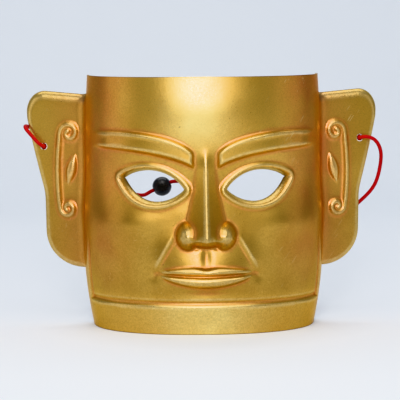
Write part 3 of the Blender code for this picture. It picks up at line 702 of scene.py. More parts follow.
@dataclass
class MaskForm:
    """The form of the formed sheet, by place on it: (distance along its section, height)."""

    height: float = 0.200
    half_width: float = 0.0948
    depth: float = 0.072
    section_power: float = 2.3
    wall: float = 0.0016
    top_narrowing: float = 0.025
    chin_narrowing: float = 0.078
    profile_bulge: float = 0.05
    ear_top: float = 0.187
    ear_bottom: float = 0.044
    ear_reach: float = 0.1458
    ear_waist: float = 0.1280
    ear_waist_height: float = 0.104
    ear_shoulder_height: float = 0.164
    ear_sweep: float = math.radians(15)
    valley_radius: float = 0.005
    soft_fold_radius: float = 0.011
    fold_margin: float = 0.003
    notch_radius: float = 0.008
    edge_roll: float = 0.0042
    top_roll: float = 0.0082
    brow_line: float = 0.136
    eye_line: float = 0.117
    nose_base: float = 0.069
    mouth_line: float = 0.046
    chin_band: float = 0.023
    eye_from_middle: float = 0.042
    eye_half_length: float = 0.0250
    eye_upper: float = 0.0100
    eye_lower: float = 0.0135
    eye_tilt: float = math.radians(10)
    hole_radius: float = 0.0027
    hole_from_middle: float = 0.1287
    hole_heights: dict[Side, float] = field(default_factory=lambda: {Side.LEFT: 0.142, Side.RIGHT: 0.147})
    scroll_from_middle: float = 0.1155
    scroll_turns: float = 1.15
    leaf_lean: float = math.radians(14)
    softening: float = 0.0005
    level_reach: float = 0.0012
    outward_reach: float = 0.0024

    def __post_init__(self) -> None:
        """Works out the plan section, the shell's edge on it and the middle of the shell's depth."""
        turn = np.linspace(0, math.pi / 2, 900)
        x = self.half_width * np.sin(turn) ** (2 / self.section_power)
        y = -self.depth * np.cos(turn) ** (2 / self.section_power)
        valley = np.linspace(0, math.pi / 2 - self.ear_sweep, 60)[1:]
        x = np.append(x, self.half_width + self.valley_radius * (1 - np.cos(valley)))
        y = np.append(y, self.valley_radius * np.sin(valley))
        flat = np.linspace(0, self.ear_reach - self.half_width + 0.03, 60)[1:]
        self.section_x = np.append(x, x[-1] + flat * math.cos(self.ear_sweep))
        self.section_y = np.append(y, y[-1] + flat * math.sin(self.ear_sweep))
        steps = np.hypot(np.diff(self.section_x), np.diff(self.section_y))
        self.section_run = np.append(0, np.cumsum(steps))
        self.shell_edge = float(np.interp(0, self.section_y, self.section_run))
        self.soften_fold()
        self.shift = -self.depth_middle()

    def soften_fold(self) -> None:
        """Works out how the fold beside an ear moves to become a wider arc, tangent to shell and ear."""
        bend = math.pi / 2 - self.ear_sweep
        reach = self.soft_fold_radius * math.tan(bend / 2)
        meet = self.valley_radius * math.tan(bend / 2)
        spare = reach - meet
        start, end = self.shell_edge - spare, self.shell_edge + self.valley_radius * bend + spare
        self.fold_run = np.linspace(start - self.fold_margin, end + self.fold_margin, 180)
        turn = bend * np.clip((self.fold_run - start) / (end - start), 0, 1)
        on = (self.fold_run > start) & (self.fold_run < end)
        x = self.half_width + self.soft_fold_radius * (1 - np.cos(turn)) - self.x_of(self.fold_run)
        y = meet - reach + self.soft_fold_radius * np.sin(turn) - self.y_of(self.fold_run)
        even = np.hanning(23)[1:-1] / np.hanning(23).sum()
        self.fold_shift_x = np.convolve(np.where(on, x, 0), even, "same")
        self.fold_shift_y = np.convolve(np.where(on, y, 0), even, "same")

    def x_of(self, along: np.ndarray) -> np.ndarray:
        """Gives the place across for a distance along the section."""
        return np.sign(along) * np.interp(np.abs(along), self.section_run, self.section_x)

    def along_of(self, x: Any) -> Any:
        """Gives the distance along the section for a place across."""
        return np.sign(x) * np.interp(np.abs(x), self.section_x, self.section_run)

    def y_of(self, along: np.ndarray) -> np.ndarray:
        """Gives the section's depth for a distance along it."""
        return np.interp(np.abs(along), self.section_run, self.section_y)

    def plain_surface(self, along: np.ndarray, height: np.ndarray) -> np.ndarray:
        """Wraps the sheet with no relief.

        Args:
            along: The points' distances along the section.
            height: The points' heights.

        Returns:
            Their places in space.
        """
        top = np.clip((height / self.height - 0.6) / 0.4, 0, 1)
        chin = np.clip(1 - height / (0.3 * self.height), 0, 1)
        width = 1 - self.top_narrowing * top**2 - self.chin_narrowing * chin**1.7
        bulge = 1 + self.profile_bulge * (1 - (height / (0.55 * self.height) - 1) ** 2)
        y = self.y_of(along)
        beside = smooth_step(self.ear_bottom - 0.004, self.ear_bottom + 0.010, height)
        beside = beside * smooth_step(self.ear_top, self.ear_top - 0.014, height)
        out = beside * np.interp(np.abs(along), self.fold_run, self.fold_shift_x, 0, 0)
        back = beside * np.interp(np.abs(along), self.fold_run, self.fold_shift_y, 0, 0)
        x = (self.x_of(along) + np.sign(along) * out) * width
        return np.stack([x, np.where(y < 0, y * bulge, y) + back, height], axis=-1)

    def forward(self, along: np.ndarray) -> np.ndarray:
        """Gives the level direction out of the sheet's front.

        Args:
            along: The points' distances along the section.

        Returns:
            A unit direction for each.
        """
        on, back = along + self.level_reach, along - self.level_reach
        run, rise = self.x_of(on) - self.x_of(back), self.y_of(on) - self.y_of(back)
        length = np.maximum(np.hypot(run, rise), 1e-9)
        return np.stack([rise / length, -run / length, np.zeros_like(run)], axis=-1)

    def ear_corners(self) -> list[tuple[float, float, float]]:
        """Gives the right ear's outline on the sheet.

        Returns:
            Corners of (along, height, radius), from its top down to its bottom.
        """
        outer = [
            (self.ear_reach + 0.0024, self.ear_top + 0.001, 0.014),
            (self.ear_reach - 0.0022, self.ear_shoulder_height, 0.030),
            (self.ear_waist + 0.0005, self.ear_waist_height, 0.045),
            (self.ear_waist - 0.0005, self.ear_bottom, 0.030),
        ]
        return [
            (self.shell_edge, self.ear_top - 0.0035, self.notch_radius),
            *[(float(self.along_of(x)), z, radius) for x, z, radius in outer],
            (self.shell_edge, self.ear_bottom, 0.003),
        ]

    def outline(self, spacing: float) -> Path:
        """Gives the sheet's whole outline, clockwise from the top of its right edge.

        Args:
            spacing: The longest side wanted.

        Returns:
            The closed outline.
        """
        right = [(self.shell_edge, self.height, 0), *self.ear_corners(), (self.shell_edge, 0, 0)]
        left = [(-x, z, radius) for x, z, radius in reversed(right)]
        return rounded(right + left, spacing)

    def eye_opening(self, side: Side, spacing: float) -> Path:
        """Gives the edge of an eye opening: two bows that meet at its corners.

        Args:
            side: Which eye.
            spacing: About how far apart the points are.

        Returns:
            The closed edge on the sheet.
        """
        steps = round(1.15 * self.eye_half_length / spacing)
        share = np.sin(np.linspace(-math.pi / 2, math.pi / 2, steps + 1))
        bow = (1 - share**2) ** 0.85
        lower = np.stack([share, -self.eye_lower * bow], axis=1)[:-1]
        upper = np.stack([share, self.eye_upper * bow], axis=1)[:0:-1]
        across, up = (np.concatenate([lower, upper]) * (self.eye_half_length, 1)).T
        x = self.eye_from_middle + across * math.cos(self.eye_tilt) - up * math.sin(self.eye_tilt)
        z = self.eye_line + across * math.sin(self.eye_tilt) + up * math.cos(self.eye_tilt)
        return list(zip(self.along_of(side.value * x), z))

    def cord_hole(self, side: Side, steps: int = 28) -> Path:
        """Gives the edge of a cord hole.

        Args:
            side: Which ear.
            steps: How many points it has.

        Returns:
            The closed edge on the sheet.
        """
        middle = float(self.along_of(side.value * self.hole_from_middle))
        turns = [2 * math.pi * k / steps for k in range(steps)]
        level = self.hole_heights[side]
        return [
            (middle + self.hole_radius * math.cos(turn), level + self.hole_radius * math.sin(turn))
            for turn in turns
        ]

    @staticmethod
    def swell(
        x: np.ndarray, height: np.ndarray, centre: Sequence[float], radii: Sequence[float], rise: float
    ) -> np.ndarray:
        """Gives a soft mound.

        Args:
            x: The points' places across.
            height: The points' heights.
            centre: The mound's middle.
            radii: Its two radii.
            rise: How high it is.

        Returns:
            The lift at each point.
        """
        return rise * np.exp(-(((x - centre[0]) / radii[0]) ** 2) - ((height - centre[1]) / radii[1]) ** 2)

    def brow(self, x: np.ndarray, height: np.ndarray) -> np.ndarray:
        """Gives the raised plate of each brow, an arch that hangs over the socket.

        Args:
            x: The points' places across.
            height: The points' heights.

        Returns:
            The lift at each point.
        """
        inner, outer = 0.0085, 0.090
        share = np.clip((x - inner) / (outer - inner), 0, 1)
        top = self.brow_line + 0.003 + 0.022 * np.sin(math.pi / 2 * share**0.55) - 0.003 * share**3
        bottom = self.brow_line - 0.009 + 0.016 * np.sin(math.pi / 2 * share**0.70)
        ends = smooth_step(inner, inner + 0.003, x) * smooth_step(outer, outer - 0.016, x)
        plate = smooth_step(top, top - 0.0028, height) * smooth_step(bottom, bottom + 0.0040, height)
        lip = np.exp(-(((top - 0.0034 - height) / 0.0016) ** 2))
        slope = np.clip((top - height) / (top - bottom), 0, 1)
        return ends * ((0.0026 + 0.0024 * slope) * plate + 0.0008 * lip)

    def nose(self, x: np.ndarray, height: np.ndarray) -> np.ndarray:
        """Gives the wedge from the brows to the tip, and the wing on each side of it.

        Args:
            x: The points' places across.
            height: The points' heights.

        Returns:
            The lift at each point.
        """
        tip = self.nose_base + 0.009
        root = self.brow_line - 0.004
        share = np.clip((root - height) / (root - tip), 0, 1)
        ridge = 0.0050 + 0.0200 * share**1.25
        foot = 0.0080 + 0.0100 * share**1.5
        wedge = ridge * np.clip(1.03 - np.sqrt((x / foot) ** 2 + 0.004), 0, None) ** 1.2
        wedge = wedge * smooth_step(root + 0.016, root - 0.010, height)
        wedge = wedge * smooth_step(self.nose_base - 0.002, self.nose_base + 0.006, height)
        across, up = (x - 0.0138) / 0.0100, (height - tip + 0.0005) / 0.0118
        wing = 0.0125 * np.clip(1 - across**2 - up**2, 0, None) ** 1.1
        reach = 0.0070
        near = np.clip(1 - np.abs(wedge - wing) / reach, 0, None)
        blend = reach / 4 * near**2 * smooth_step(0, reach, np.minimum(wedge, wing))
        nostril = self.swell(x, height, (0.0085, self.nose_base + 0.0005), (0.0038, 0.0024), -0.0022)
        return np.maximum(wedge, wing) + blend + nostril

    def mouth(self, x: np.ndarray, height: np.ndarray) -> np.ndarray:
        """Gives two closed lips, the line between them and the dimple at each end.

        Args:
            x: The points' places across.
            height: The points' heights.

        Returns:
            The lift at each point.
        """
        half = 0.0375
        bow = np.clip(1 - (x / half) ** 2, 1e-6, None)
        line = self.mouth_line + 0.0016 * (x / half) ** 2
        upper = 0.0076 * bow**0.65 - 0.0014 * np.exp(-((x / 0.0055) ** 2))
        lower = 0.0092 * bow**0.75
        above = (height - line - upper / 2) / (upper / 2)
        below = (line - lower / 2 - height) / (lower / 2)
        lips = 0.0030 * np.clip(1 - above**2, 0, None) ** 0.7 + 0.0036 * np.clip(1 - below**2, 0, None) ** 0.7
        groove = -0.0010 * np.exp(-(((height - line) / 0.0014) ** 2))
        groove = groove * smooth_step(half + 0.006, half - 0.004, x)
        dimple = self.swell(x, height, (half + 0.002, self.mouth_line + 0.001), (0.005, 0.006), -0.0016)
        return smooth_step(half, half - 0.010, x) * lips + groove + dimple

    def cheek_fold(self, x: np.ndarray, height: np.ndarray) -> np.ndarray:
        """Gives the soft fold from a wing of the nose down beside the mouth.

        Args:
            x: The points' places across.
            height: The points' heights.

        Returns:
            The lift at each point.
        """
        share = np.clip((self.nose_base + 0.020 - height) / 0.048, 0, 1)
        line = 0.0215 + 0.0255 * np.clip(share - 0.2, 0, 1) ** 0.9
        fades = smooth_step(0, 0.5, share) * smooth_step(1, 0.6, share)
        side = np.exp(-np.clip(x - line, 0, None) / 0.014)
        return 0.0024 * fades * smooth_step(-0.0022, 0.0034, x - line) * side

    def eye_rim(self, along: np.ndarray, height: np.ndarray) -> np.ndarray:
        """Gives the lid: a bead that turns in at the opening.

        Args:
            along: The points' distances along the section.
            height: The points' heights.

        Returns:
            The lift at each point.
        """
        edge = self.eye_opening(Side.RIGHT, 0.001)
        gap = path_distance(along, height, edge, closed=True)
        gap = np.where(inside(along, height, edge), -gap, gap)
        bead = 0.0024 * np.exp(-(((gap - 0.0034) / 0.0024) ** 2))
        return bead - 0.0042 * np.exp(-np.clip(gap, -0.003, None) / 0.0009)

    def face_relief(self, along: np.ndarray, height: np.ndarray) -> np.ndarray:
        """Gives how far the face stands out of the plain wrapped sheet.

        Args:
            along: The points' distances along the section.
            height: The points' heights.

        Returns:
            The lift at each point.
        """
        along = np.abs(along)
        x = self.x_of(along)
        lift = self.brow(x, height) + self.nose(x, height)
        lift = lift + self.mouth(x, height) + self.cheek_fold(x, height)
        near = (np.abs(x - self.eye_from_middle) < 0.045) & (np.abs(height - self.eye_line) < 0.036)
        lift[near] += self.eye_rim(along[near], height[near])
        for centre, radii, rise in (
            ((0.041, self.eye_line + 0.002), (0.031, 0.018), -0.0070),
            ((0.065, 0.086), (0.022, 0.017), 0.0055),
            ((0.062, 0.050), (0.018, 0.020), -0.0030),
            ((0.080, 0.138), (0.016, 0.022), -0.0015),
            ((0.0, self.mouth_line), (0.038, 0.021), 0.0060),
            ((0.0, self.mouth_line - 0.0135), (0.020, 0.0040), -0.0020),
            ((0.0, 0.174), (0.050, 0.020), 0.0025),
            ((0.0, self.nose_base - 0.009), (0.0035, 0.008), -0.0012),
        ):
            lift += self.swell(x, height, centre, radii, rise)
        return lift

    def band_relief(self, along: np.ndarray, height: np.ndarray) -> np.ndarray:
        """Gives the plain band under the face, with a strip up the shell's sides.

        Args:
            along: The points' distances along the section.
            height: The points' heights.

        Returns:
            The lift at each point.
        """
        along = np.abs(along)
        gap = np.minimum(height - self.chin_band, self.shell_edge - 0.022 - along)
        step = 0.0014 * smooth_step(0.0008, -0.0012, gap)
        groove = -0.0012 * np.exp(-(((gap - 0.0016) / 0.0015) ** 2))
        fades = smooth_step(self.shell_edge - 0.001, self.shell_edge - 0.006, along)
        return (step + groove) * fades * smooth_step(0.080, 0.045, height)

    def ear_relief(self, along: np.ndarray, height: np.ndarray) -> np.ndarray:
        """Gives the rolled edge of an ear, and the scroll and leaf on its flat.

        Args:
            along: The points' distances along the section.
            height: The points' heights.

        Returns:
            The lift at each point.
        """
        along = np.abs(along)
        lift = np.zeros_like(along)
        on = along > self.shell_edge - 0.002
        ends = (self.shell_edge, self.height, 0), (self.shell_edge, 0, 0)
        edge = rounded([ends[0], *self.ear_corners(), ends[1]], 0.002, closed=False)
        gap = path_distance(along[on], height[on], edge)
        loop = [(self.shell_edge - 0.03, self.height), *edge, (self.shell_edge - 0.03, 0)]
        gap = np.where(inside(along[on], height[on], loop), gap, -gap)
        high = smooth_step(self.ear_top - 0.024, self.ear_top - 0.009, height[on])
        reach = self.edge_roll + (self.top_roll - self.edge_roll) * high
        share = np.clip(1 - (gap + 0.0002) / reach, 0, 0.99)
        roll = -reach * (1 - np.sqrt(1 - share**2)) + np.minimum(gap, 0) * 2
        lift[on] = roll * smooth_step(self.shell_edge + 0.001, self.shell_edge + 0.008, along[on])
        near = on & (height > 0.07) & (height < 0.175)
        gap = path_distance(along[near], height[near], self.scroll())
        lift[near] += 0.0024 * np.exp(-((gap / 0.0022) ** 2)) + self.leaf(along[near], height[near])
        return lift

    def scroll(self) -> Path:
        """Gives the middle of the right ear's scroll: a long bowed bead with a curl at each end.

        Returns:
            The line's points on the sheet.
        """
        edge = float(self.along_of(self.scroll_from_middle))
        curls = []
        upper, lower = ((edge - 0.0080, 0.1530), 0.0080, 1), ((edge - 0.0070, 0.0920), 0.0065, -1)
        for centre, outer, spin in (upper, lower):
            shares = np.linspace(0, 1, round(16 * self.scroll_turns) + 1)
            radii = outer * (1 - 0.75 * shares)
            turns = spin * 2 * math.pi * self.scroll_turns * shares
            curls.append(list(zip(centre[0] + radii * np.cos(turns), centre[1] + radii * np.sin(turns))))
        bow = [(edge + 0.0016 * math.sin(math.pi * k / 8), 0.153 - 0.061 * k / 8) for k in range(1, 8)]
        return [*reversed(curls[0]), *bow, *curls[1]]

    def leaf(self, along: np.ndarray, height: np.ndarray) -> np.ndarray:
        """Gives a pointed leaf that leans inside the scroll.

        Args:
            along: The points' distances along the section.
            height: The points' heights.

        Returns:
            The lift at each point.
        """
        cos, sin = math.cos(self.leaf_lean), math.sin(self.leaf_lean)
        across = along - float(self.along_of(self.scroll_from_middle)) + 0.0098
        up = height - 0.1235
        tall = (up * cos - across * sin) / 0.0135
        wide = (across * cos + up * sin) / 0.0046
        room = np.clip(1 - tall**2, 0, None) ** 1.2
        return 0.0026 * np.clip(room - wide**2 / np.maximum(room, 0.05), 0, None) ** 0.8

    def relief(self, along: np.ndarray, height: np.ndarray) -> np.ndarray:
        """Gives the whole relief at points on the sheet."""
        face = self.face_relief(along, height) + self.band_relief(along, height)
        return face + self.ear_relief(along, height)

    def surface(self, along: np.ndarray, height: np.ndarray) -> np.ndarray:
        """Gives the front of the finished shell.

        Args:
            along: The points' distances along the section.
            height: The points' heights.

        Returns:
            Their places in space, before the mask is put over the origin.
        """
        along, height = np.asarray(along, float), np.asarray(height, float)
        lift = self.relief(along, height) / 3
        for across, up in ((-1, -1), (-1, 1), (1, -1), (1, 1)):
            lift = lift + self.relief(along + across * self.softening, height + up * self.softening) / 6
        return self.plain_surface(along, height) + lift[..., None] * self.forward(along)

    def outward(self, along: np.ndarray, height: np.ndarray) -> np.ndarray:
        """Gives the shell's outward direction, smoothed over its small relief.

        Args:
            along: The points' distances along the section.
            height: The points' heights.

        Returns:
            A unit direction for each point.
        """
        reach = self.outward_reach
        across = self.surface(along + reach, height) - self.surface(along - reach, height)
        up = self.surface(along, height + reach) - self.surface(along, height - reach)
        normal = np.cross(across, up)
        normal[..., 2] *= smooth_step(0, 0.006, np.minimum(height, self.height - height))
        return normal / np.linalg.norm(normal, axis=-1, keepdims=True)

    def depth_middle(self) -> float:
        """Gives the middle of the shell's depth, from the nose's tip to the back of the ears.

        Returns:
            Its place on Y.
        """
        heights = np.linspace(self.nose_base, self.nose_base + 0.02, 60)
        front = self.surface(np.zeros_like(heights), heights)[:, 1].min()
        along, height = np.array(self.outline(0.002)).T
        back = self.surface(along, height) - self.wall * self.outward(along, height)
        return float((front + back[:, 1].max()) / 2)

    def ear_place(self, side: Side, from_middle: float, height: float, off: float) -> Vector:
        """Gives a place beside an ear, in the frame's coordinates.

        Args:
            side: Which ear.
            from_middle: How far it is from the middle of the mask.
            height: How high it is.
            off: How far it is in front of the ear's flat.

        Returns:
            The place.
        """
        along = np.array([float(self.along_of(side.value * from_middle))])
        flat = self.plain_surface(along, np.array([height]))[0]
        return Vector(flat) + off * Vector(self.forward(along)[0]) + Vector((0, self.shift, 0))


@dataclass(frozen=True)
class SprayPattern:
    """Where the sprayed coat, its wear, its painted highlights and its painted shade lie on the shell, by
    place on the sheet.
    """

    form: MaskForm
    ridge_reach: float = 0.0030
    ridge_full: float = 0.00055
    # Shares of the orange, which is partly airbrushed and partly painted shade; less on the left, where more
    # light falls.
    flank_shade_share: float = 0.76
    cheek_shade_share: float = 0.62
    ear_valley_shade_share: float = 0.36
    left_flank_shade: float = 0.42
    left_corner_shade: float = 0.70
    # Where the painted highlight lies and how wide it is, on the forehead and on the chin band.
    highlight_middle: float = -0.007
    highlight_width: float = 0.021
    band_highlight: float = 0.8
    band_width: float = 0.040
    # How strong the painted shade on the lower half is.
    lower_shade_share: float = 0.28
    # How strong the painted shade on the rolled ear tops is.
    roll_shade_share: float = 0.85
    edge_reach: float = 0.010

    def ridges(self, along: np.ndarray, height: np.ndarray) -> np.ndarray:
        """Compares the relief with the mean of the relief round it.

        Args:
            along: The points' distances along the section.
            height: The points' heights.

        Returns:
            1 on a sharp ridge, -1 in a sharp hollow.
        """
        here, around = self.form.relief(along, height), np.zeros_like(along)
        for k in range(8):
            turn = 2 * math.pi * k / 8
            across, up = self.ridge_reach * math.cos(turn), self.ridge_reach * math.sin(turn)
            around += self.form.relief(along + across, height + up) / 8
        return np.clip((here - around) / self.ridge_full, -1, 1)

    def mist_and_shade(self, x: np.ndarray, height: np.ndarray) -> np.ndarray:
        """Gives the orange down the shell's sides, on the cheeks, in its upper corners and beside the ears:
        partly an airbrushed tint, partly painted shade where the shell turns away from the light, less on the
        left, where more light falls.

        Args:
            x: The points' distances along the section, less than 0 on the left.
            height: The points' heights.

        Returns:
            The share of orange tint and painted shade at each point.
        """
        edge, along, right = self.form.shell_edge, np.abs(x), x > 0
        inward = edge - along
        low = 0.40 + 0.60 * smooth_step(0.03, 0.10, height)
        side = np.where(inward > 0, smooth_step(0.054, 0.010, inward), np.exp(-((inward / 0.015) ** 2)))
        # Less orange on the left, where more light falls: that difference is painted shade.
        flank = low * np.where(right, 1.0, self.left_flank_shade) * side
        cheek = self.cheek_shade_share * smooth_step(0.090, 0.030, inward)
        cheek = cheek * smooth_step(0.020, 0.075, height) * (inward > 0)
        corner = np.where(right, 1.0, self.left_corner_shade) * smooth_step(0.040, 0.118, along)
        corner = corner * smooth_step(0.145, 0.190, height) * (along < edge + 0.004)
        ear = self.ear_valley_shade_share * smooth_step(edge + 0.045, edge, along) * (inward <= 0)
        most = np.maximum(np.maximum(self.flank_shade_share * flank, corner), np.maximum(cheek, ear))
        return np.clip(most, 0, 1)

    def painted_highlight(self, x: np.ndarray, height: np.ndarray) -> np.ndarray:
        """Gives the painted highlight, a paler gold, in the middle of the forehead and of the chin band.

        Args:
            x: The points' distances along the section, less than 0 on the left.
            height: The points' heights.

        Returns:
            The painted highlight's share at each point.
        """
        forehead = np.exp(-(((x - self.highlight_middle) / self.highlight_width) ** 2))
        forehead = forehead * smooth_step(0.135, 0.165, height)
        band = self.band_highlight * np.exp(-((x / self.band_width) ** 2))
        return np.clip(np.maximum(forehead, band * smooth_step(0.028, 0.020, height)), 0, 1)

    def lean(self, along: np.ndarray, height: np.ndarray) -> np.ndarray:
        """Gives the painted shade on the lower half, which fades out at the folds and the chin band.

        Args:
            along: The points' distances along the section.
            height: The points' heights.

        Returns:
            The painted shade's share at each point.
        """
        inward = self.form.shell_edge - along
        lean = self.lower_shade_share * smooth_step(0.120, 0.088, height) * smooth_step(0.026, 0.034, height)
        return lean * np.where(
            inward > 0, smooth_step(0.004, 0.032, inward), smooth_step(0.0, 0.012, -inward)
        )

    def roll(self, along: np.ndarray, height: np.ndarray) -> np.ndarray:
        """Gives the painted shade, a dull darker pink, along the rolled top of each ear.

        Args:
            along: The points' distances along the section.
            height: The points' heights.

        Returns:
            The painted shade's share at each point.
        """
        form = self.form
        gap = path_distance(along, height, rounded(form.ear_corners(), 0.002, closed=False))
        roll = smooth_step(form.top_roll, 0.5 * form.top_roll, gap)
        roll = roll * smooth_step(form.ear_top - 0.020, form.ear_top - 0.009, height)
        roll = roll * (along > form.shell_edge + 0.002)
        return self.roll_shade_share * roll * smooth_step(form.ear_reach + 0.002, form.ear_reach - 0.010, along)

    def masks(self, x: np.ndarray, height: np.ndarray, loops: list[Path]) -> dict[str, np.ndarray]:
        """Works out every mask that the finishes read.

        Args:
            x: The points' distances along the section, less than 0 on the left.
            height: The points' heights.
            loops: The sheet's outline, its two eye openings and its two cord holes.

        Returns:
            The value at each point, by the mask's name.
        """
        along = np.abs(x)
        gaps = [path_distance(x, height, loop, closed=True) for loop in loops]
        near, holes = np.min(gaps[:3], axis=0), np.min(gaps[3:], axis=0)
        handled = smooth_step(0.030, 0.060, x) * smooth_step(0.145, 0.165, height)
        return {
            # Orange, partly airbrushed tint, partly painted shade.
            "mist_and_shade": self.mist_and_shade(x, height),
            "ridge": self.ridges(along, height),
            "near_edge": np.exp(-near / self.edge_reach),
            "bare": smooth_step(0.0008, 0.0001, holes),
            # Painted highlight.
            "painted_highlight": self.painted_highlight(x, height),
            # Painted shade on the rolled ear tops.
            "roll": self.roll(along, height),
            # Painted shade on the lower half.
            "lean": self.lean(along, height),
            "handled": np.clip(handled + 0.25, 0, 1),
        }


@dataclass
class MaskShell:
    """The shell of the mask: the formed sheet, its rounded cut edges, its paint and its bare back."""

    form: MaskForm
    paint: GoldPaint
    back: BarePlastic
    cell: float = 0.006
    finest_cell: float = 0.00095
    tolerance: float = 0.00003
    outline_spacing: float = 0.0018
    rim_spacing: float = 0.0012
    rim_rings: tuple[float, ...] = (0.0004, 0.0009, 0.0016, 0.0026, 0.0038)
    rim_clearance: float = 0.30
    cell_clearance: float = 0.42
    edge_rows: tuple[float, ...] = (0.0005, 0.0012)
    edge_swell: float = 0.00018
    edge_depths: tuple[float, ...] = (0.22, 0.78)
    sharp_angle: float = math.radians(62)

    def graded_points(self) -> dict[tuple[float, float], float]:
        """Covers the sheet with points, closest where the surface bends most.

        Returns:
            The size of the cell that each point belongs to.
        """
        form = self.form
        columns, rows = math.ceil(form.section_run[-1] / self.cell), math.ceil(form.height / self.cell)
        cells = np.array([(i, j) for i in range(-columns, columns) for j in range(rows)]) * self.cell
        nine = np.array([(i, j) for i in (0, 0.5, 1) for j in (0, 0.5, 1)])
        size, kept = self.cell, {}
        while len(cells):
            places = cells[:, None, :] + nine[None] * size
            formed = form.surface(places[..., 0], places[..., 1])
            off = [
                np.linalg.norm(formed[:, m] - (formed[:, a] + formed[:, b]) / 2, axis=1)
                for a, m, b in ((0, 1, 2), (6, 7, 8), (0, 3, 6), (2, 5, 8), (0, 4, 8), (2, 4, 6))
            ]
            split = (np.max(off, axis=0) > self.tolerance) & (size > self.finest_cell)
            for corner in places[~split][:, (0, 2, 6, 8)].reshape(-1, 2):
                kept.setdefault(tuple(np.round(corner, 6)), size)
            steps = np.array(((0, 0), (1, 0), (0, 1), (1, 1))) * size / 2
            cells = (cells[split][:, None, :] + steps[None]).reshape(-1, 2)
            size /= 2
        return kept

    def beside(self, loop: Path, closed: bool, distance: float) -> np.ndarray:
        """Gives points beside a loop.

        Args:
            loop: The loop's points.
            closed: Whether its end joins its start.
            distance: How far to its left the points lie.

        Returns:
            The points.
        """
        points = np.array(loop)
        if closed:
            run = np.roll(points, -1, axis=0) - np.roll(points, 1, axis=0)
        else:
            run = np.gradient(points, axis=0)
        run /= np.maximum(np.linalg.norm(run, axis=1, keepdims=True), 1e-9)
        return points + distance * np.stack([-run[:, 1], run[:, 0]], axis=1)

    def loops(self) -> list[Path]:
        """Gives the sheet's edges: its outline, its eye openings and its cord holes.

        Returns:
            The closed edges, in that order.
        """
        made = [self.form.outline(self.outline_spacing)]
        made += [self.form.eye_opening(side, self.rim_spacing) for side in Side]
        return made + [self.form.cord_hole(side) for side in Side]

    def on_sheet(self, points: np.ndarray, loops: list[Path]) -> np.ndarray:
        """Tells which points lie on the sheet, inside its outline and outside its holes.

        Args:
            points: The points.
            loops: Its outline and its holes.

        Returns:
            True for each point on the sheet.
        """
        found = inside(points[:, 0], points[:, 1], loops[0])
        for hole in loops[1:]:
            found &= ~inside(points[:, 0], points[:, 1], hole)
        return found

    def cut_sheet(self) -> tuple[np.ndarray, np.ndarray]:
        """Cuts the flat sheet and meshes it.

        Returns:
            Its points and its triangles.
        """
        form, loops = self.form, self.loops()
        edges, start = [], 0
        for loop in loops:
            edges += [(start + k, start + (k + 1) % len(loop)) for k in range(len(loop))]
            start += len(loop)
        ear = rounded(form.ear_corners(), self.rim_spacing, closed=False)[2:-2]
        rings = []
        for distance in self.rim_rings:
            rings.append(self.beside(ear, False, -distance))
            rings.append(rings[-1] * (-1, 1))
            rings += [self.beside(loops[k], True, -distance * way) for k, way in ((1, -1), (2, 1))]
        for distance in self.rim_rings[:3]:
            rings += [self.beside(loops[k], True, -distance) for k in (3, 4)]
        rows = np.linspace(0, form.height, round(form.height / self.outline_spacing) + 1)
        columns = np.arange(-form.shell_edge, form.shell_edge, self.outline_spacing)
        for level in self.edge_rows:
            for z in (level, form.height - level):
                rings.append(np.stack([columns, np.full_like(columns, z)], axis=1))
        bend = form.valley_radius * (math.pi / 2 - form.ear_sweep)
        for along in np.linspace(form.shell_edge, form.shell_edge + bend, 4):
            rings += [np.stack([np.full_like(rows, side.value * along), rows], axis=1) for side in Side]
        return self.triangulated([p for loop in loops for p in loop], edges, loops, np.concatenate(rings))

    def triangulated(
        self, chosen: Path, edges: list[tuple[int, int]], loops: list[Path], rings: np.ndarray
    ) -> tuple[np.ndarray, np.ndarray]:
        """Meshes the sheet through its edges, its rim rings and its graded points.

        Args:
            chosen: The points of its edges.
            edges: The lines that the mesh keeps.
            loops: Its outline and its holes.
            rings: Points beside its edges.

        Returns:
            Its points and its triangles.
        """
        candidates = [(tuple(p), self.rim_spacing) for p in rings] + list(self.graded_points().items())
        flags = self.on_sheet(np.array([p for p, _ in candidates]), loops)
        count = int(flags[: len(rings)].sum())
        candidates = [c for c, flag in zip(candidates, flags) if flag]
        trees = []
        for points in (chosen, [p for p, _ in candidates[:count]]):
            tree = KDTree(max(1, len(points)))
            for i, p in enumerate(points):
                tree.insert((*p, 0), i)
            tree.balance()
            trees.append(tree)
        chosen = list(chosen)
        for i, (p, size) in enumerate(candidates):
            clearance = self.rim_clearance if i < count else self.cell_clearance
            clear = trees[0].find((*p, 0))[2] >= clearance * min(size, self.rim_spacing)
            if clear and (i < count or trees[1].find((*p, 0))[2] >= 0.5 * size):
                chosen.append(p)
        made = delaunay_2d_cdt([Vector(p) for p in chosen], edges, [], 0, 1e-7)
        points = np.array([tuple(p) for p in made[0]])
        faces = np.array([f for f in made[2] if len(f) == 3])
        return points, faces[self.on_sheet(points[faces].mean(axis=1), loops)]

    def cut_edge(self, points: np.ndarray, faces: np.ndarray) -> tuple[np.ndarray, np.ndarray]:
        """Finds the sheet's edge and the way out of the sheet there.

        Args:
            points: The sheet's points.
            faces: Its triangles, all turned one way.

        Returns:
            The edge's sides in their triangles' order, and the way out at every point.
        """
        sides = np.concatenate([faces[:, (0, 1)], faces[:, (1, 2)], faces[:, (2, 0)]])
        ordered = np.sort(sides, axis=1)
        _, first, counts = np.unique(ordered, axis=0, return_index=True, return_counts=True)
        rim = sides[first[counts == 1]]
        run = points[rim[:, 1]] - points[rim[:, 0]]
        way = np.stack([run[:, 1], -run[:, 0]], axis=1)
        way /= np.maximum(np.linalg.norm(way, axis=1, keepdims=True), 1e-12)
        out = np.zeros_like(points)
        np.add.at(out, rim[:, 0], way)
        np.add.at(out, rim[:, 1], way)
        out /= np.maximum(np.linalg.norm(out, axis=1, keepdims=True), 1e-12)
        return rim, out

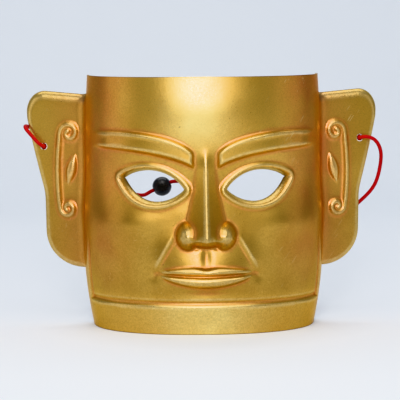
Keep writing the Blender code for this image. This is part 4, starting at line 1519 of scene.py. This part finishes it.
    def build(self) -> bpy.types.Object:
        """Forms the sheet, gives it its wall and its rounded cut edges, and dresses it.

        Returns:
            The shell.
        """
        form = self.form
        points, faces = self.cut_sheet()
        a, b, c = (points[faces[:, k]] for k in range(3))
        turned = (b[:, 0] - a[:, 0]) * (c[:, 1] - a[:, 1]) - (b[:, 1] - a[:, 1]) * (c[:, 0] - a[:, 0]) < 0
        faces[turned] = faces[turned][:, ::-1]
        rim, out = self.cut_edge(points, faces)
        edge = np.unique(rim)
        spot = np.full(len(points), -1)
        spot[edge] = np.arange(len(edge))
        along, height = points.T
        front = form.surface(along, height)
        outward = form.outward(along, height)
        layers = [front, front - form.wall * outward]
        for depth in self.edge_depths:
            pushed = points[edge] + self.edge_swell * out[edge]
            level = np.clip(pushed[:, 1], 0, form.height)
            layers.append(form.surface(pushed[:, 0], level) - depth * form.wall * outward[edge])
        count = len(points)
        rows = [rim, spot[rim] + 2 * count, spot[rim] + 2 * count + len(edge), rim + count]
        skirt = [
            np.stack([up[:, 1], up[:, 0], down[:, 0], down[:, 1]], axis=1)
            for up, down in zip(rows, rows[1:])
        ]
        places = np.concatenate(layers) + (0, form.shift, 0)
        mesh = new_mesh("painted_shell", places, [*faces, *faces[:, ::-1] + count, *np.concatenate(skirt)])
        slots = np.repeat([0, 1, 0], [len(faces), len(faces), 3 * len(rim)])
        mesh.polygons.foreach_set("material_index", slots)
        mesh.materials.append(self.paint.material())
        mesh.materials.append(self.back.material())
        mesh.set_sharp_from_angle(angle=self.sharp_angle)
        self.keep_sharp(mesh, np.concatenate([edge, edge + count, np.arange(2 * count, len(places))]))
        self.mark(mesh, points, edge)
        shell = new_object("painted_shell", mesh)
        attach(shell, "root")
        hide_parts("mask_shell")
        return shell

    @staticmethod
    def keep_sharp(mesh: bpy.types.Mesh, cut: np.ndarray) -> None:
        """Leaves only the sheet's cut edges sharp, so that its relief stays soft.

        Args:
            mesh: The shell's mesh, with its sharp edges found by angle.
            cut: The numbers of the points on its cut edges.
        """
        flags = mesh.attributes.get("sharp_edge")
        if not flags:
            return
        sharp, ends = np.empty(len(mesh.edges), bool), np.empty(2 * len(mesh.edges), np.int32)
        flags.data.foreach_get("value", sharp)
        mesh.edges.foreach_get("vertices", ends)
        on_cut = np.zeros(len(mesh.vertices), bool)
        on_cut[cut] = True
        flags.data.foreach_set("value", sharp & on_cut[ends.reshape(-1, 2)].all(axis=1))

    def mark(self, mesh: bpy.types.Mesh, points: np.ndarray, edge: np.ndarray) -> None:
        """Stores the spray pattern's masks on the shell.

        Args:
            mesh: The shell's mesh: the front, the back, and two rows round the cut edge.
            points: The sheet's points.
            edge: Which of them are on its edge.
        """
        masks = SprayPattern(self.form).masks(points[:, 0], points[:, 1], self.loops())
        for name, values in masks.items():
            store(mesh, name, np.concatenate([values, values, values[edge], values[edge]]))


@dataclass
class BraidedTube:
    """A braided tube along a line, made by Geometry Nodes."""

    diameter: float = 0.0030
    sides: int = 32
    step: float = 0.00026
    yarns: int = 8
    lay: float = 0.0080
    relief: float = 0.00009
    crown: float = 0.72
    tuck: float = 0.35
    even_height: float = 0.6

    def tree(self) -> bpy.types.NodeTree:
        """Builds the node tree that sweeps the line and lifts its yarns.

        Returns:
            The tree.
        """
        name = "braided_tube"
        tree = bpy.data.node_groups.get(name)
        if tree:
            return tree
        tree = bpy.data.node_groups.new(name, "GeometryNodeTree")
        tree.interface.new_socket("Geometry", in_out="INPUT", socket_type="NodeSocketGeometry")
        for label in ("Diameter", "Step", "Yarns", "Lay", "Relief"):
            tree.interface.new_socket(label, in_out="INPUT", socket_type="NodeSocketFloat")
        tree.interface.new_socket("Sides", in_out="INPUT", socket_type="NodeSocketInt")
        tree.interface.new_socket("Finish", in_out="INPUT", socket_type="NodeSocketMaterial")
        tree.interface.new_socket("Geometry", in_out="OUTPUT", socket_type="NodeSocketGeometry")
        graph = Graph(tree)
        given = graph.add("NodeGroupInput").outputs
        radius = graph.times(given["Diameter"], 0.5)
        inputs = {"Curve": given["Geometry"], "Length": given["Step"]}
        line = graph.add("GeometryNodeResampleCurve", inputs, mode="LENGTH")
        ring = graph.add("GeometryNodeCurvePrimitiveCircle", {"Resolution": given["Sides"], "Radius": radius})
        kept = []
        for curve, output in ((line, "Length"), (ring, "Factor")):
            keeper = graph.add("GeometryNodeCaptureAttribute", {"Geometry": curve.outputs["Curve"]})
            keeper.capture_items.new("FLOAT", "Place")
            tree.links.new(graph.add("GeometryNodeSplineParameter").outputs[output], keeper.inputs[1])
            kept.append(keeper)
        curves = [keeper.outputs["Geometry"] for keeper in kept]
        inputs = {"Curve": curves[0], "Profile Curve": curves[1], "Fill Caps": True}
        tube = graph.add("GeometryNodeCurveToMesh", inputs)
        along = graph.math("DIVIDE", kept[0].outputs[1], given["Lay"])
        turns = graph.plus(kept[1].outputs[1], along), graph.minus(kept[1].outputs[1], along)
        phases = [graph.times(given["Yarns"], turn) for turn in turns]
        cells = [graph.math("FLOOR", phase) for phase in phases]
        odd = graph.math("FLOORED_MODULO", graph.plus(*cells), 2.0)
        bows = []
        for phase, cell in zip(phases, cells):
            across = graph.times_plus(graph.minus(phase, cell), 2.0, -1.0)
            bows.append(graph.times(across, across))
        tops = []
        for first, second in (bows, bows[::-1]):
            crown = graph.times_plus(first, -self.crown, 1.0)
            tops.append(graph.times(crown, graph.times_plus(second, -self.tuck, 1.0)))
        swing = graph.times(odd, graph.minus(tops[1], tops[0]))
        strand = graph.plus(tops[0], swing)
        lift = graph.times(graph.minus(strand, self.even_height), given["Relief"])
        normal = graph.add("GeometryNodeInputNormal").outputs[0]
        push = graph.add("ShaderNodeVectorMath", {0: normal, "Scale": lift}, operation="SCALE")
        made = tube.outputs["Mesh"]
        for kind, inputs in (
            ("GeometryNodeStoreNamedAttribute", {"Name": "strand", "Value": strand}),
            ("GeometryNodeSetPosition", {"Offset": push.outputs[0]}),
            ("GeometryNodeSetShadeSmooth", {}),
            ("GeometryNodeRealizeInstances", {}),
            ("GeometryNodeSetMaterial", {"Material": given["Finish"]}),
        ):
            made = graph.add(kind, {"Geometry": made, **inputs}).outputs[0]
        graph.add("NodeGroupOutput", {"Geometry": made})
        return tree

    def build(self, name: str, points: Sequence[Vector], finish: bpy.types.Material) -> bpy.types.Object:
        """Sweeps the tube along a line and turns it into a plain mesh.

        Args:
            name: The piece's name.
            points: The line's points.
            finish: Its material.

        Returns:
            The piece.
        """
        curve = bpy.data.curves.new(name + "_line", "CURVE")
        curve.dimensions = "3D"
        line = curve.splines.new("POLY")
        line.points.add(len(points) - 1)
        for point, place in zip(line.points, points):
            point.co = (*place, 1)
        holder = new_object(name + "_line", curve)
        sweep = holder.modifiers.new("braid", "NODES")
        sweep.node_group = self.tree()
        sizes = {
            "Diameter": self.diameter,
            "Step": self.step,
            "Yarns": float(self.yarns),
            "Lay": self.lay,
            "Relief": self.relief,
            "Sides": self.sides,
            "Finish": finish,
        }
        for socket in sweep.node_group.interface.items_tree:
            if socket.name in sizes:
                sweep[socket.identifier] = sizes[socket.name]
        graph = bpy.context.evaluated_depsgraph_get()
        mesh = bpy.data.meshes.new_from_object(holder.evaluated_get(graph))
        holder.modifiers.clear()
        bpy.data.objects.remove(holder)
        mesh.name = name
        return new_object(name, mesh)


def smooth_path(points: Sequence[Vector], steps: int = 24) -> list[Vector]:
    """Draws a smooth line through points, whose pace follows the distance between them.

    Args:
        points: The points.
        steps: How many pieces there are between two of them.

    Returns:
        The line.
    """
    ends = [2 * points[0] - points[1], *points, 2 * points[-1] - points[-2]]
    path = []
    for a, b, c, d in zip(ends, ends[1:], ends[2:], ends[3:]):
        t1 = math.sqrt((b - a).length)
        t2 = t1 + math.sqrt((c - b).length)
        t3 = t2 + math.sqrt((d - c).length)
        for k in range(steps):
            t = t1 + (t2 - t1) * k / steps
            ab, bc, cd = a.lerp(b, t / t1), b.lerp(c, (t - t1) / (t2 - t1)), c.lerp(d, (t - t2) / (t3 - t2))
            abc, bcd = ab.lerp(bc, t / t2), bc.lerp(cd, (t - t1) / (t3 - t1))
            path.append(abc.lerp(bcd, (t - t1) / (t2 - t1)))
    return path + [points[-1]]


@dataclass
class ElasticCord:
    """The elastic cord: out of the left ear, round its edge, through the bead and back to the right ear."""

    form: MaskForm
    finish: BraidedElastic
    tube: BraidedTube
    bead_place: Vector
    bead_lean: Vector
    bead_diameter: float = 0.016
    left_exit: tuple = (
        (0, 0, 0.0006),
        (0.0028, 0.0028, 0.0044),
        (0.0085, 0.0088, 0.0046),
        (0.0140, 0.0140, 0.0020),
        (0.0166, 0.0160, -0.0046),
    )
    left_run: tuple = (
        (-0.1380, 0.0300, 0.1550),
        (-0.1200, 0.0405, 0.1345),
        (-0.0960, 0.0475, 0.1175),
        (-0.0770, 0.0500, 0.1075),
        (-0.0610, 0.0515, 0.1005),
        (-0.0480, 0.0530, 0.0980),
    )
    right_run: tuple = (
        (-0.0070, 0.0552, 0.1070),
        (0.0110, 0.0545, 0.0970),
        (0.0320, 0.0525, 0.0815),
        (0.0600, 0.0500, 0.0695),
        (0.0890, 0.0460, 0.0690),
        (0.1130, 0.0400, 0.0785),
        (0.1300, 0.0335, 0.0925),
        (0.1415, 0.0270, 0.1065),
    )
    right_entry: tuple = (
        (0.0182, -0.0240, -0.0040),
        (0.0168, -0.0110, 0.0010),
        (0.0110, -0.0022, 0.0046),
        (0.0040, 0.0008, 0.0050),
        (0, 0, 0.0006),
    )

    def route(self) -> list[Vector]:
        """Gives the cord's own points, from the back of the left ear's wall to the back of the right's.

        Returns:
            The points, in the frame's coordinates.
        """
        form = self.form
        reach, wall = form.hole_from_middle, form.wall
        left, right = form.hole_heights[Side.LEFT], form.hole_heights[Side.RIGHT]
        start = [(0, 0, -wall), *self.left_exit]
        end = [*self.right_entry, (0, 0, -wall)]
        back = Vector((0, form.shift, 0))
        lean = self.bead_lean.normalized() * self.bead_diameter * 0.6
        middle = [Vector(p) + back for p in self.left_run]
        middle += [self.bead_place - lean, self.bead_place, self.bead_place + lean]
        middle += [Vector(p) + back for p in self.right_run]
        first = [form.ear_place(Side.LEFT, reach + out, left + up, off) for out, up, off in start]
        last = [form.ear_place(Side.RIGHT, reach + out, right + up, off) for out, up, off in end]
        return [*first, *middle, *last]

    def build(self, pieces: Sequence[bpy.types.Object]) -> bpy.types.Object:
        """Builds the cord.

        Args:
            pieces: The bead and the knots that are on it; not used.

        Returns:
            The cord.
        """
        path = smooth_path(self.route())
        cord = self.tube.build("braided_cord", path, self.finish.material())
        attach(cord, "root")
        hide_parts("elastic_cord")
        return cord


@dataclass
class StopperKnot:
    """The knot tied in the cord behind an ear, with its short cut tail."""

    form: MaskForm
    finish: bpy.types.Material
    side: Side
    tube: BraidedTube
    size: float = 0.00118
    gap: float = 0.0003
    half_depth: float = 0.0030
    lead_in: float = 0.55
    lead_out: float = 0.35
    flatness: float = 0.9
    steps: int = 90

    def line(self) -> list[Vector]:
        """Draws the knot: in from the hole, once round through its own loop, and out to a tail.

        Returns:
            The line, along the ear's own backward direction.
        """
        line = []
        for turn in np.linspace(self.lead_in, 2 * math.pi - self.lead_out, self.steps):
            across = math.sin(turn) + 2 * math.sin(2 * turn)
            up = math.cos(turn) - 2 * math.cos(2 * turn)
            line.append(Vector((across, up, -math.sin(3 * turn) * self.flatness)) * self.size)
        return line

    def build(self, name: str, node: str) -> bpy.types.Object:
        """Builds the knot behind its hole.

        Args:
            name: The piece's name.
            node: The solid that it stands for.

        Returns:
            The knot.
        """
        form, side = self.form, self.side
        reach, level = form.hole_from_middle, form.hole_heights[side]
        along = form.along_of(np.array([side.value * reach]))
        out = Vector(form.forward(along)[0])
        back = form.ear_place(side, reach, level, -form.wall - self.gap - self.half_depth)
        turn = Vector((0, 0, 1)).rotation_difference(-out).to_matrix()
        path = [back + turn @ p for p in self.line()]
        knot = self.tube.build(name, path, self.finish)
        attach(knot, "root")
        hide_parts(node)
        return knot


@dataclass
class CordBead:
    """The round bead on the cord: two moulded halves, drilled through, with a softened bore."""

    finish: BlackMoulding
    place: Vector
    lean: Vector
    radius: float = 0.008
    bore: float = 0.0023
    chamfer: float = 0.0005
    seam: float = 0.00010
    seam_width: float = 0.035
    lip_drop: float = 0.9
    lip_dullness: float = 0.6
    sides: int = 72

    def profile(self) -> list[tuple[float, float, float]]:
        """Gives the turned outline of the bead.

        Returns:
            Its points: the distance from the axis, the place along it, and 1 in the bore.
        """
        lip = self.bore + self.chamfer
        top = math.asin(lip / self.radius)
        points = []
        for k in range(61):
            turn = top + (math.pi - 2 * top) * k / 60
            reach = self.radius - self.seam * math.exp(-(((turn - math.pi / 2) / self.seam_width) ** 2))
            points.append((reach * math.sin(turn), reach * math.cos(turn), 0.0))
        end = self.radius * math.cos(top)
        rim = []
        for k in range(1, 5):
            turn = math.pi / 2 * k / 5
            drop = self.chamfer * (1 - math.cos(turn)) * self.lip_drop
            rim.append((lip - self.chamfer * math.sin(turn), drop))
        points += [(r, -end + drop, self.lip_dullness) for r, drop in rim]
        half = end - self.chamfer
        points += [(self.bore, -half + 2 * half * k / 12, 1.0) for k in range(13)]
        points += [(r, end - drop, self.lip_dullness) for r, drop in reversed(rim)]
        return points

    def build(self) -> bpy.types.Object:
        """Turns the bead round its axis.

        Returns:
            The bead.
        """
        outline = self.profile()
        turn = Vector((0, 0, 1)).rotation_difference(self.lean).to_matrix()
        points, bore = [], []
        for k in range(self.sides):
            angle = 2 * math.pi * k / self.sides
            for r, z, inner in outline:
                points.append(self.place + turn @ Vector((r * math.cos(angle), r * math.sin(angle), z)))
                bore.append(inner)
        count = len(outline)
        faces = []
        for k in range(self.sides):
            here, on = k * count, (k + 1) % self.sides * count
            for i in range(count):
                j = (i + 1) % count
                faces.append((here + i, here + j, on + j, on + i))
        mesh = new_mesh("moulded_bead", points, faces)
        store(mesh, "bore", np.array(bore))
        mesh.materials.append(self.finish.material())
        bead = new_object("moulded_bead", mesh)
        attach(bead, "root")
        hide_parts("cord_bead")
        return bead


@dataclass(frozen=True)
class Softbox:
    """One soft light of the studio: its place, its width and height, its watts, its colour and its aim."""

    name: str
    place: tuple[float, float, float]
    size: tuple[float, float]
    power: float
    colour: Colour
    aim: tuple[float, float, float] = (0.0, 0.0, 0.10)

    def hang(self) -> bpy.types.Object:
        """Hangs the light and turns it to its aim.

        Returns:
            The light.
        """
        lamp = bpy.data.lights.new(self.name, "AREA")
        lamp.shape = "RECTANGLE"
        lamp.size, lamp.size_y = self.size
        lamp.energy = self.power
        lamp.color = self.colour
        made = new_object(self.name, lamp)
        made.location = self.place
        way = Vector(self.aim) - Vector(self.place)
        made.rotation_euler = way.to_track_quat("-Z", "Y").to_euler()
        return made


@dataclass
class Studio:
    """The pale sweep of paper, the soft lights and the camera at the photograph's angle."""

    paper: StudioPaper
    camera_place: tuple[float, float, float] = (-0.05, -1.632, 0.253)
    pitch: float = math.radians(5.29)
    heading: float = math.radians(1.631)
    roll: float = math.radians(-0.4)
    lens: float = 187.0
    room_colour: Colour = (0.84, 0.89, 0.97)
    room_strength: float = 0.33
    lights: tuple[Softbox, ...] = (
        Softbox("key_softbox", (-0.09, -1.75, 0.74), (0.28, 0.50), 15.0, (1.0, 0.99, 0.96)),
        Softbox("overhead_softbox", (0.0, -0.65, 1.30), (1.3, 0.9), 9.5, (1.0, 0.99, 0.97)),
        Softbox("floor_fill", (0.0, -0.55, 0.45), (0.5, 0.2), 0.8, (1.0, 0.97, 0.92), (0.0, -0.12, 0.0)),
        Softbox("left_reflector", (-1.30, -0.30, 0.55), (1.0, 1.2), 2.7, (1.0, 0.97, 0.93)),
        Softbox("right_reflector", (1.30, -0.30, 0.55), (1.0, 1.2), 1.5, (1.0, 0.97, 0.93)),
        Softbox("paper_light", (0.0, 0.8, 1.5), (1.8, 0.8), 10.5, (0.95, 0.975, 1.0), (0.0, 1.0, 0.0)),
    )

    def build(self) -> None:
        """Sets up the paper, the camera, the lights and the room's own light."""
        self.sweep()
        self.camera()
        for light in self.lights:
            light.hang()
        bpy.context.scene.view_settings.view_transform = "Khronos PBR Neutral"
        world = bpy.data.worlds.new("room")
        world.use_nodes = True
        room = world.node_tree.nodes["Background"]
        room.inputs["Color"].default_value = (*self.room_colour, 1)
        room.inputs["Strength"].default_value = self.room_strength
        bpy.context.scene.world = world

    def sweep(self) -> None:
        """Lays the seamless paper: a floor that curves up into a back wall."""
        bend, front, back, half, below = 0.9, -3.0, 1.0, 4.0, 0.0002
        line = [(front, 0.0), (back, 0.0)]
        for k in range(1, 25):
            turn = math.pi / 2 * k / 24
            line.append((back + bend * math.sin(turn), bend * (1 - math.cos(turn))))
        line.append((back + bend, 4.0))
        points = [(x, y, z - below) for y, z in line for x in (-half, half)]
        faces = [(2 * k, 2 * k + 1, 2 * k + 3, 2 * k + 2) for k in range(len(line) - 1)]
        mesh = new_mesh("paper_sweep", points, faces)
        mesh.materials.append(self.paper.material())
        new_object("paper_sweep", mesh)

    def camera(self) -> None:
        """Sets the camera."""
        camera = new_object("camera", bpy.data.cameras.new("camera"))
        camera.data.lens = self.lens
        turn = Matrix.Rotation(-self.heading, 4, "Z") @ Matrix.Rotation(math.pi / 2 - self.pitch, 4, "X")
        turn = turn @ Matrix.Rotation(self.roll, 4, "Z")
        camera.matrix_world = Matrix.Translation(self.camera_place) @ turn
        bpy.context.scene.camera = camera


def main() -> None:
    """Builds the studio, then each piece of the mask in order."""
    logging.basicConfig(level=logging.INFO, format="%(name)s: %(message)s")
    Studio(StudioPaper()).build()
    form = MaskForm()
    elastic = BraidedElastic()
    tube = BraidedTube()
    place = Vector((-0.0325, 0.0545 + form.shift, 0.1050))
    lean = Vector((0.90, 0.03, 0.40))
    bead = CordBead(BlackMoulding(), place, lean.normalized()).build()
    tied = elastic.material()
    fine_tube = BraidedTube(step=0.0002, sides=24)
    knots = [
        StopperKnot(form, tied, side, fine_tube).build(side.name.lower() + "_tied_knot", node)
        for side, node in ((Side.LEFT, "left_knot"), (Side.RIGHT, "right_knot"))
    ]
    cord = ElasticCord(form, elastic, tube, place, lean).build([bead, *knots])
    shell = MaskShell(form, GoldPaint(), BarePlastic()).build()
    for piece in (shell, cord, bead, *knots):
        LOG.info("%s: %d faces", piece.name, len(piece.data.polygons))


if __name__ == "__main__":
    main()
